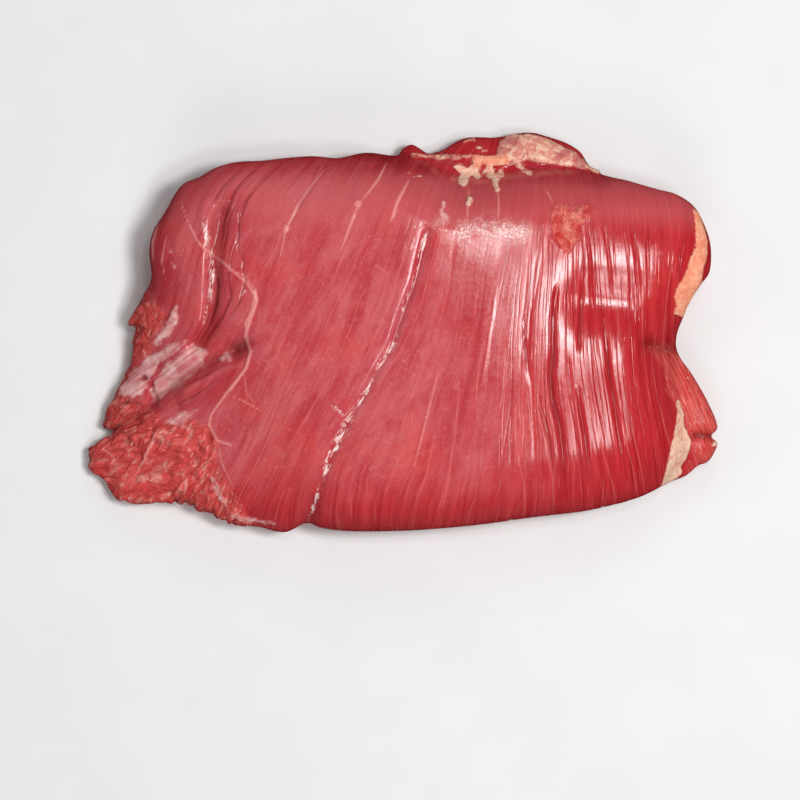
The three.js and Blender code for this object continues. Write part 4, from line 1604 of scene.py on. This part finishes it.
class EffectLibrary:
    """Shader node groups that several finishes share, each built once."""

    def __init__(self) -> None:
        """Build every group."""
        self.streaks = self._streaks()
        self.hairlines = self._hairlines()
        self.live_edge = self._live_edge()
        self.shreds = self._shreds()
        self.wisps = self._wisps()

    @staticmethod
    def _group(name: str, output: str, vector: str,
               **numbers: float) -> tuple[NodeBench, bpy.types.Node, bpy.types.Node]:
        """Start a group with named inputs and one number output.

        Args:
            name: Name of the group.
            output: Name of its output.
            vector: Name of its vector input.
            numbers: Its number inputs with their usual values.

        Returns:
            The group's bench, its input node and its output node.
        """
        group = bpy.data.node_groups.new(name, "ShaderNodeTree")
        group.interface.new_socket(vector, in_out="INPUT", socket_type="NodeSocketVector")
        for label, value in numbers.items():
            socket = group.interface.new_socket(
                label, in_out="INPUT", socket_type="NodeSocketFloat")
            socket.default_value = value
        group.interface.new_socket(output, in_out="OUTPUT", socket_type="NodeSocketFloat")
        bench = NodeBench(group)
        return bench, bench.add("NodeGroupInput"), bench.add("NodeGroupOutput")

    @staticmethod
    def _along_fibres(bench: NodeBench, given: bpy.types.Node) -> Socket:
        """Stretch the fibre coordinates by the group's own sizes."""
        x, y = bench.parted(given.outputs["Fibre"])
        across, along = given.outputs["Across"], given.outputs["Along"]
        return bench.joined(bench.times(x, across), bench.times(y, along), given.outputs["Shift"])

    def _streaks(self) -> bpy.types.NodeTree:
        """Build long streaks that follow the fibres.

        Returns:
            The group.
        """
        bench, given, result = self._group(
            "fibre streaks", "Streak", "Fibre", Across=1.0, Along=0.05, Shift=0.0)
        place = self._along_fibres(bench, given)
        streak = bench.noise(place, 1.0, detail=3.0, roughness=0.55, distortion=0.25)
        bench.put(result, Streak=bench.ease(streak, 0.3, 0.7))
        return bench.tree

    def _hairlines(self) -> bpy.types.NodeTree:
        """Build thin lines along the fibres that come and go.

        Returns:
            The group.
        """
        bench, given, result = self._group(
            "fibre hairlines", "Line", "Fibre", Spacing=2.0, Run=20.0, Width=0.2, Share=0.5,
            Shift=0.0)
        spacing, shift = given.outputs["Spacing"], given.outputs["Shift"]
        x, y = bench.parted(given.outputs["Fibre"])
        across = bench.math("DIVIDE", x, spacing)
        along = bench.math("DIVIDE", y, given.outputs["Run"])
        bend = bench.joined(bench.times(across, 0.22), bench.times(along, 0.4), shift)
        wander = bench.noise(bend, 1.0, detail=1.0)
        phase = bench.math("MULTIPLY_ADD", wander, 2.4, across)
        cell = bench.math("FLOOR", phase)
        chance = bench.add("ShaderNodeTexWhiteNoise", noise_dimensions="2D")
        bench.put(chance, Vector=bench.joined(cell, shift))
        middle = bench.math("MULTIPLY_ADD", chance.outputs["Value"], 0.6, 0.2)
        place = bench.math("SUBTRACT", phase, cell)
        gap = bench.times(bench.math("ABSOLUTE", bench.math("SUBTRACT", place, middle)), spacing)
        line = bench.thinned(gap, given.outputs["Width"])
        course = bench.joined(bench.times(cell, 3.7), along, shift)
        presence = bench.noise(course, 1.0, detail=1.0)
        low = bench.math("MULTIPLY_ADD", given.outputs["Share"], -0.5, 0.7)
        shown = bench.math("MULTIPLY", bench.math("SUBTRACT", presence, low), 7.0, clamp=True)
        bench.put(result, Line=bench.times(bench.ease(line, 0.0, 1.0), shown))
        return bench.tree

    def _shreds(self) -> bpy.types.NodeTree:
        """Build ragged shreds of torn meat, 0 down in the crevices between them.

        Returns:
            The group.
        """
        bench, given, result = self._group(
            "torn shreds", "Height", "Fibre", Across=0.5, Along=0.15, Shift=0.0)
        place = self._along_fibres(bench, given)
        noise = bench.noise(place, 1.0, detail=2.0, roughness=0.5, distortion=0.7)
        gap = bench.math("ABSOLUTE", bench.math("SUBTRACT", noise, 0.5))
        bench.put(result, Height=bench.ease(gap, 0.0, 0.1))
        return bench.tree

    def _wisps(self) -> bpy.types.NodeTree:
        """Build faint curved threads that come and go.

        Returns:
            The group.
        """
        bench, given, result = self._group("faint wisps", "Wisp", "Place", Scale=100.0, Width=0.02)
        place, scale = given.outputs["Place"], given.outputs["Scale"]
        noise = bench.noise(place, scale, detail=2.0, distortion=0.8)
        gap = bench.math("ABSOLUTE", bench.math("SUBTRACT", noise, 0.5))
        line = bench.thinned(gap, given.outputs["Width"])
        presence = bench.noise(place, bench.times(scale, 1.7), detail=3.0)
        bench.put(result, Wisp=bench.times(line, bench.ease(presence, 0.5, 0.62)))
        return bench.tree

    def _live_edge(self) -> bpy.types.NodeTree:
        """Build a mask from a field of depth, its edge frayed by fine noise.

        Returns:
            The group.
        """
        bench, given, result = self._group(
            "live edge", "Mask", "Place", Depth=0.0, Fray=0.5, Softness=0.2, Scale=900.0)
        noise = bench.noise(given.outputs["Place"], given.outputs["Scale"], 3.0, 0.6)
        frayed = bench.times(bench.math("SUBTRACT", noise, 0.5), given.outputs["Fray"])
        depth = bench.plus(given.outputs["Depth"], frayed)
        share = bench.plus(bench.math("DIVIDE", depth, given.outputs["Softness"]), 0.5)
        bench.put(result, Mask=bench.ease(share, 0.0, 1.0))
        return bench.tree


class BeefBench(NodeBench):
    """The beef material's tree, with the places, masks and effects that its finish uses."""

    def __init__(self, tree: bpy.types.NodeTree, effects: EffectLibrary) -> None:
        """Work on one tree and read the places that its textures follow."""
        super().__init__(tree)
        self.effects = effects
        self.fibre = self.field("fibre", vector=True)
        self.place = self.add("ShaderNodeTexCoord").outputs["Object"]
        self.masks: dict[str, Socket] = {}

    def group(self, tree: bpy.types.NodeTree, **inputs: object) -> Socket:
        """Place a group with its own sizes and return its only output."""
        return self.put(self.add("ShaderNodeGroup", node_tree=tree), **inputs).outputs[0]

    def streak(self, across: float, along: float, shift: float,
               place: Socket | None = None) -> Socket:
        """Place the streak group, along the fibres unless it gets a place of its own."""
        return self.group(self.effects.streaks, Fibre=place or self.fibre, Across=across,
                          Along=along, Shift=shift)

    def line(self, spacing: float, run: float, width: float, share: float,
             shift: float) -> Socket:
        """Place the hairline group with its own sizes in millimetres."""
        return self.group(self.effects.hairlines, Fibre=self.fibre, Spacing=spacing, Run=run,
                          Width=width, Share=share, Shift=shift)


@dataclass(frozen=True)
class RawBeefFinish:
    """Wet raw beef: striped muscle, membrane, torn meat, silver skin and fat."""

    effects: EffectLibrary
    light_muscle: tuple = tint(200, 55, 60)
    muscle: tuple = tint(178, 34, 42)
    # Dark red of the grain's streaks, also used for painted shade in grooves, crease lines and
    # round the rim
    deep_muscle_and_shade: tuple = tint(132, 12, 24)
    membrane: tuple = tint(203, 98, 103)
    membrane_plum: tuple = tint(188, 76, 88)
    membrane_warm: tuple = tint(210, 80, 76)
    membrane_pale: tuple = tint(226, 132, 132)
    plum: tuple = tint(160, 48, 62)
    # Deeper red for painted shade where the body turns down
    shade_red: tuple = tint(166, 34, 46)
    scraped: tuple = tint(210, 62, 52)
    torn_light: tuple = tint(244, 116, 108)
    torn_dark: tuple = tint(214, 56, 56)
    # Painted shade down between the shreds of torn meat
    torn_crevice_shade: tuple = tint(148, 18, 24)
    torn_pale: tuple = tint(244, 170, 156)
    scuff_dark: tuple = tint(212, 62, 58)
    scuff_light: tuple = tint(246, 152, 134)
    tip_pale: tuple = tint(240, 118, 104)
    cream_fat: tuple = tint(244, 200, 174)
    pink_fat: tuple = tint(222, 138, 122)
    plum_fat: tuple = tint(176, 78, 84)
    peach_fat: tuple = tint(250, 176, 142)
    peach_deep: tuple = tint(240, 146, 116)
    skin_pale: tuple = tint(248, 204, 198)
    skin_pink: tuple = tint(200, 102, 108)
    strand: tuple = tint(232, 148, 144)
    hairline: tuple = tint(226, 120, 112)
    # White for the painted highlights
    painted_glint: tuple = tint(250, 220, 214)
    # Painted shade colour for the creases
    crease: tuple = tint(92, 6, 14)

    def material(self) -> bpy.types.Material:
        """Build the material.

        Returns:
            A material that reads the steak's fields.
        """
        material = bpy.data.materials.new("raw_beef_finish")
        material.use_nodes = True
        tree = material.node_tree
        tree.nodes.clear()
        bench = BeefBench(tree, self.effects)
        bench.masks = self._masks(bench)
        shader = bench.add("ShaderNodeBsdfPrincipled")
        bench.put(shader, Base_Color=self._cover(bench, self._muscle(bench)),
                  Roughness=self._roughness(bench), Normal=self._bump(bench), IOR=1.34,
                  Subsurface_Weight=0.1, Subsurface_Scale=0.003)
        shader.inputs["Subsurface Radius"].default_value = (1.0, 0.35, 0.25)
        bench.put(bench.add("ShaderNodeOutputMaterial"), Surface=shader.outputs[0])
        return material

    @staticmethod
    def _masks(bench: BeefBench) -> dict[str, Socket]:
        """Turn the depth fields into masks.

        Args:
            bench: The material's tree.

        Returns:
            Masks and fine lines by name.
        """
        masks = {}
        for name, fray, softness, scale in (
            ("fat", 1.3, 0.6, 600.0), ("skin", 2.4, 1.3, 500.0), ("strand", 0.5, 0.7, 1500.0),
            ("painted_glint", 1.6, 0.9, 900.0), ("torn", 3.5, 3.0, 400.0), ("scuff", 3.4, 2.4, 600.0),
            ("streaky", 3.0, 4.0, 300.0), ("plum", 2.0, 1.5, 500.0),
        ):
            masks[name] = bench.group(
                bench.effects.live_edge, Depth=bench.field(name), Fray=fray,
                Softness=softness, Scale=scale, Place=bench.place)
        for name in ("membrane", "deep", "peach", "crevice_shade", "crinkle", "rim", "rosy", "blush",
                     "ribbed", "crumple", "shade_red"):
            masks[name] = bench.field(name)
        # Strips of painted highlight, broken into dashes
        masks["painted_glint"] = bench.times(
            masks["painted_glint"], bench.ease(bench.streak(3.0, 0.25, 2.2), 0.35, 0.7),
            bench.ease(bench.noise(bench.place, 500.0), 0.36, 0.5))
        masks["narrow groove"] = bench.line(2.6, 26.0, 0.28, 0.6, 4.4)
        masks["fine groove"] = bench.line(1.15, 15.0, 0.22, 0.5, 7.7)
        masks["crease line"] = bench.times(masks["crumple"], bench.line(3.4, 9.0, 0.4, 0.7, 5.5))
        masks["sinew"] = bench.streak(1.0, 0.07, 6.3, bench.turned(bench.place, 55))
        masks["tip streak"] = bench.streak(1.5, 0.1, 4.1, bench.turned(bench.place, 155))
        for name, across, along, shift in (
            ("shred", 0.28, 0.19, 2.0), ("fine shred", 0.75, 0.42, 8.0),
        ):
            masks[name] = bench.group(bench.effects.shreds, Fibre=bench.fibre, Across=across,
                                      Along=along, Shift=shift)
        masks["lump"] = bench.noise(bench.place, 420.0, detail=4.0, roughness=0.6, distortion=0.8)
        covered = bench.most(masks["torn"], masks["fat"], masks["skin"], masks["scuff"])
        masks["bare"] = bench.math("SUBTRACT", 1.0, covered, clamp=True)
        return masks

    def _muscle(self, bench: BeefBench) -> Socket:
        """Colour bare muscle and the membrane over it, with painted shade in its grooves and crease
        lines, round the rim and where the body turns down.

        Args:
            bench: The material's tree.

        Returns:
            The colour.
        """
        masks = bench.masks
        fine = bench.streak(2.4, 0.06, 3.1)
        broad = bench.streak(0.62, 0.02, 8.7)
        wide = bench.streak(0.14, 0.012, 1.3)
        cloud = bench.streak(0.17, 0.07, 6.6)
        speckle = bench.noise(bench.place, 900.0, detail=3.0, roughness=0.6)
        scrape = bench.noise(bench.place, 42.0, detail=5.0, roughness=0.65)
        base = bench.coats(
            bench.mix(broad, self.muscle, self.light_muscle),
            (bench.times(wide, 0.5), self.muscle),
            (bench.ease(fine, 0.0, 0.6, 0.3, 0.0), self.deep_muscle_and_shade),
            (bench.ease(scrape, 0.55, 0.68, 0.0, 0.22), self.scraped),
        )
        veil = bench.coats(
            bench.mix(cloud, self.membrane_plum, self.membrane),
            (bench.ease(scrape, 0.46, 0.66, 0.0, 0.6), self.membrane_warm),
            (bench.ease(speckle, 0.5, 0.75, 0.0, 0.3), self.membrane_pale),
            (bench.ease(broad, 0.0, 0.5, 0.25, 0.0), self.muscle),
        )
        share = bench.times(masks["membrane"], bench.ease(cloud, 0.0, 0.8, 0.6, 0.9))
        pale = bench.line(5.5, 36.0, 0.4, 0.45, 2.6)
        threads = bench.line(1.7, 8.0, 0.26, 0.4, 9.2)
        wisps = [
            bench.times(bench.group(bench.effects.wisps, Place=bench.place, Scale=scale,
                                    Width=width), strength, masks["membrane"])
            for scale, width, strength in ((110.0, 0.016, 0.34), (240.0, 0.03, 0.26))
        ]
        open_share = bench.math(
            "SUBTRACT", 1.0, bench.times(bench.most(masks["membrane"], masks["rosy"]), 0.8))
        return bench.coats(
            bench.mix(share, base, veil),
            (bench.times(pale, 0.36), self.hairline),
            (bench.times(threads, 0.3), self.hairline),
            *((wisp, self.membrane_pale) for wisp in wisps),
            # Painted shade along the fine crease lines
            (bench.times(masks["crease line"], 0.5), self.deep_muscle_and_shade),
            (bench.times(masks["rosy"], 0.56), self.membrane),
            # Painted shade in deeper red under the flap and at the upper left
            (bench.times(masks["shade_red"], bench.ease(broad, 0.0, 1.0, 0.95, 0.6)), self.shade_red),
            (bench.times(masks["plum"], 0.6), self.plum),
            # Painted shade round the rim and down the side
            (bench.times(masks["rim"], 0.2), self.deep_muscle_and_shade),
            # Painted shade in the narrow grooves, less under membrane
            (bench.times(masks["narrow groove"], 0.42, open_share), self.deep_muscle_and_shade),
        )

    def _cover(self, bench: BeefBench, colour: Socket) -> Socket:
        """Lay torn meat, silver skin, strands, painted shade in the creases, fat and painted white
        highlights over the muscle.

        Args:
            bench: The material's tree.
            colour: Colour of the muscle.

        Returns:
            The colour of everything.
        """
        masks = bench.masks
        mottle = bench.noise(bench.place, 300.0, detail=5.0, roughness=0.65)
        patches = bench.noise(bench.place, 140.0, detail=4.0, roughness=0.6)
        sinew = masks["sinew"]
        scuff = bench.mix(bench.ease(mottle, 0.35, 0.7), self.scuff_dark, self.scuff_light)
        tip = bench.mix(masks["tip streak"], self.light_muscle, self.tip_pale)
        pale = bench.math("MULTIPLY_ADD", sinew, 0.45, bench.ease(patches, 0.4, 0.6, 0.0, 0.5))
        skin = bench.mix(pale, self.skin_pink, self.skin_pale)
        return bench.coats(
            colour,
            (bench.times(masks["torn"], 0.9), self._torn(bench, mottle)),
            (bench.times(masks["scuff"], 0.8), scuff),
            (bench.times(masks["streaky"], 0.65), tip),
            (bench.times(masks["skin"], bench.ease(sinew, 0.0, 0.5, 0.7, 0.92)), skin),
            (bench.times(masks["strand"], 0.8), self.strand),
            # Painted shade in the creases, the pit, the notch, the seam and the grooves
            (bench.times(masks["deep"], 0.7), self.crease),
            (masks["fat"], self._fat(bench, patches)),
            # Painted white highlights over everything
            (self._glints(bench, patches), self.painted_glint),
        )

    def _torn(self, bench: BeefBench, mottle: Socket) -> Socket:
        """Colour torn meat, with painted shade down between its shreds.

        Args:
            bench: The material's tree.
            mottle: Noise that mottles the meat.

        Returns:
            The colour.
        """
        masks = bench.masks
        streak = bench.streak(0.6, 0.24, 4.9)
        light = bench.math("MULTIPLY_ADD", mottle, 0.6, bench.times(streak, 0.5))
        crevice_shade = bench.most(
            bench.math("MULTIPLY_ADD", masks["shred"], -0.5, 0.5),
            bench.math("MULTIPLY_ADD", masks["fine shred"], -0.3, 0.3),
            bench.times(masks["crevice_shade"], 0.5),
        )
        return bench.coats(
            bench.mix(light, self.torn_dark, self.torn_light),
            (bench.ease(streak, 0.65, 0.95, 0.0, 0.6), self.torn_pale),
            (crevice_shade, self.torn_crevice_shade),
        )

    def _fat(self, bench: BeefBench, patches: Socket) -> Socket:
        """Colour fat: cream and pink lumps, bruised on the flap and peach at the right.

        Args:
            bench: The material's tree.
            patches: Noise that parts the bruises.

        Returns:
            The colour.
        """
        masks = bench.masks
        lump = bench.math("MULTIPLY_ADD", masks["blush"], -0.13, masks["lump"])
        bruise = bench.times(masks["blush"], bench.ease(patches, 0.5, 0.6, 0.0, 0.7))
        peach = bench.mix(bench.ease(masks["lump"], 0.4, 0.65), self.peach_deep, self.peach_fat)
        return bench.coats(
            bench.mix(bench.ease(lump, 0.28, 0.52), self.pink_fat, self.cream_fat),
            (bruise, self.plum_fat),
            (masks["peach"], peach),
        )

    @staticmethod
    def _glints(bench: BeefBench, patches: Socket) -> Socket:
        """Paint white highlights: glitter on crinkled membrane, glints on torn meat and the wet
        strips.

        Args:
            bench: The material's tree.
            patches: Noise that parts the glints.

        Returns:
            The share of painted white highlight.
        """
        masks = bench.masks
        grit = bench.noise(bench.place, 1500.0, detail=3.0, roughness=0.65, distortion=0.6)
        sparkle = bench.math("MULTIPLY_ADD", masks["crinkle"], 0.2, grit)
        glitter = bench.times(
            masks["crinkle"], bench.ease(sparkle, 0.6, 0.82, 0.22, 0.85),
            bench.ease(patches, 0.38, 0.56, 0.25, 1.0),
        )
        glint_dashes = bench.streak(2.0, 0.5, 5.2)
        torn_glints = bench.times(
            bench.most(masks["torn"], masks["streaky"]), bench.ease(glint_dashes, 0.9, 1.0, 0.0, 0.6),
            bench.ease(patches, 0.45, 0.58),
        )
        return bench.most(glitter, torn_glints, bench.times(masks["painted_glint"], 0.95))

    @staticmethod
    def _roughness(bench: BeefBench) -> Socket:
        """Set the roughness: wettest on bare muscle, duller on membrane and fat.

        Args:
            bench: The material's tree.

        Returns:
            The roughness.
        """
        masks = bench.masks
        speckle = bench.noise(bench.place, 800.0, detail=3.0)
        wet = bench.most(masks["crinkle"], masks["scuff"], masks["torn"])
        rough = bench.plus(
            bench.ease(speckle, 0.3, 0.7, 0.12, 0.2), bench.times(masks["membrane"], 0.04),
            bench.times(masks["rim"], 0.1), bench.times(masks["fat"], 0.1),
            bench.times(wet, -0.13),
        )
        return bench.most(rough, 0.07)

    @staticmethod
    def _bump(bench: BeefBench) -> Socket:
        """Add fine relief in millimetres: grooves along the grain and a leathery crinkle.

        Args:
            bench: The material's tree.

        Returns:
            The normal.
        """
        masks = bench.masks
        grooves = bench.times(
            bench.plus(bench.times(masks["narrow groove"], 0.085),
                       bench.times(masks["fine groove"], 0.045)),
            masks["ribbed"], masks["bare"],
        )
        crinkle = bench.noise(bench.place, 1300.0, detail=2.0, roughness=0.6)
        leather = bench.noise(bench.place, 420.0, detail=2.0, roughness=0.5)
        folds = bench.noise(bench.place, 700.0, detail=4.0, roughness=0.65, distortion=1.2)
        shreds = bench.math("MULTIPLY_ADD", masks["shred"], 0.3,
                            bench.times(masks["fine shred"], 0.12))
        ragged = bench.most(masks["torn"], masks["scuff"])
        folded = bench.most(bench.times(masks["crinkle"], 0.07), bench.times(ragged, 0.24))
        height = bench.plus(
            bench.times(crinkle, 0.014), bench.times(grooves, -1.0),
            bench.times(leather, 0.018), bench.times(shreds, ragged),
            bench.times(masks["lump"], masks["fat"], 0.7),
            bench.times(masks["sinew"], masks["skin"], 0.1),
            bench.times(masks["tip streak"], masks["streaky"], 0.2),
            bench.times(masks["crease line"], -0.16), bench.times(folds, folded),
        )
        node = bench.add("ShaderNodeBump")
        bench.put(node, Height=height, Strength=1.0, Distance=MM)
        return node.outputs[0]


@dataclass
class Studio:
    """Pale floor, soft lights and a camera straight above, as in the photograph."""

    camera_height: float = 1.5
    focus_height: float = 0.02
    frame_pixel: tuple = (400, 400)
    frame_pixels: float = 800
    sensor: float = 36.0
    floor_half: float = 3.0

    def build(self) -> None:
        """Place everything round the steak."""
        self._floor()
        self._lights()
        self._camera()
        scene = bpy.context.scene
        scene.view_settings.view_transform = "Standard"
        scene.view_settings.look = "None"

    def _floor(self) -> None:
        """Lay a plain pale floor."""
        mesh = bpy.data.meshes.new("floor")
        half = self.floor_half
        corners = [(-half, -half, 0), (half, -half, 0), (half, half, 0), (-half, half, 0)]
        mesh.from_pydata(corners, [], [(0, 1, 2, 3)])
        floor = bpy.data.objects.new("floor", mesh)
        bpy.context.scene.collection.objects.link(floor)
        material = bpy.data.materials.new("pale_floor")
        material.use_nodes = True
        bench = NodeBench(material.node_tree)
        shader = material.node_tree.nodes["Principled BSDF"]
        place = bench.add("ShaderNodeTexCoord").outputs["Object"]
        speck = bench.noise(place, 30.0, detail=2.0)
        colour = bench.mix(bench.ease(speck, 0.3, 0.7), (0.78, 0.78, 0.78, 1), (0.8, 0.8, 0.8, 1))
        bench.put(shader, Base_Color=colour, Roughness=0.7)
        mesh.materials.append(material)
        floor.visible_glossy = False

    def _lights(self) -> None:
        """Hang the soft boxes: the main one high and a little to the right, fills all round."""
        self._soft_box("main_box", (0.405, 0.045, 1.15), (0.21, 0.28), 8.4)
        self._soft_box("low_box", (0.41, -0.27, 1.15), (0.24, 0.13), 2.6)
        self._soft_box("spark_box", (0.135, 0.205, 1.15), (0.11, 0.05), 1.2)
        self._soft_box("left_fill", (-1.0, 0.2, 0.9), (0.6, 0.6), 1.5)
        self._soft_box("back_fill", (0.1, 1.1, 0.9), (0.8, 0.5), 2.1, mirrored=False)
        self._soft_box("front_fill", (0.0, -1.1, 0.9), (0.8, 0.5), 3.3, mirrored=False)
        world = bpy.data.worlds.new("studio_air")
        world.use_nodes = True
        world.node_tree.nodes["Background"].inputs["Color"].default_value = (1, 1, 1, 1)
        world.node_tree.nodes["Background"].inputs["Strength"].default_value = 0.12
        world.cycles_visibility.glossy = False
        bpy.context.scene.world = world

    @staticmethod
    def _soft_box(name: str, place: tuple, size: tuple, power: float,
                  mirrored: bool = True) -> None:
        """Hang one rectangular light that faces the steak.

        Args:
            name: Name of the light.
            place: Where it hangs, in metres.
            size: Width and height in metres.
            power: Its power in watts.
            mirrored: Whether wet surfaces mirror it.
        """
        lamp = bpy.data.lights.new(name, "AREA")
        lamp.shape = "RECTANGLE"
        lamp.size, lamp.size_y = size
        lamp.energy = power
        box = bpy.data.objects.new(name, lamp)
        box.location = place
        aim = -box.location
        box.rotation_euler = aim.to_track_quat("-Z", "Y").to_euler()
        box.visible_glossy = mirrored
        bpy.context.scene.collection.objects.link(box)

    def _camera(self) -> None:
        """Hang the camera over the middle of the photograph, looking straight down."""
        camera = bpy.data.cameras.new("camera")
        width = self.frame_pixels * PIXEL_MM * MM
        reach = self.camera_height - self.focus_height
        camera.sensor_width = self.sensor
        camera.lens = self.sensor * reach / width
        obj = bpy.data.objects.new("camera", camera)
        x, y = at(self.frame_pixel)[0] * MM
        obj.location = (x, y, self.camera_height)
        bpy.context.scene.collection.objects.link(obj)
        bpy.context.scene.camera = obj


def main() -> None:
    """Build the steak, dress it and light it."""
    logging.basicConfig(level=logging.INFO, format="%(message)s")
    skin = SteakSkin().build()
    skin.data.materials.append(RawBeefFinish(EffectLibrary()).material())
    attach(skin, "root")
    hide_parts("flank_steak")
    LOG.info("%s: %d vertices, %d faces", skin.name, len(skin.data.vertices),
             len(skin.data.polygons))
    Studio().build()


if __name__ == "__main__":
    main()
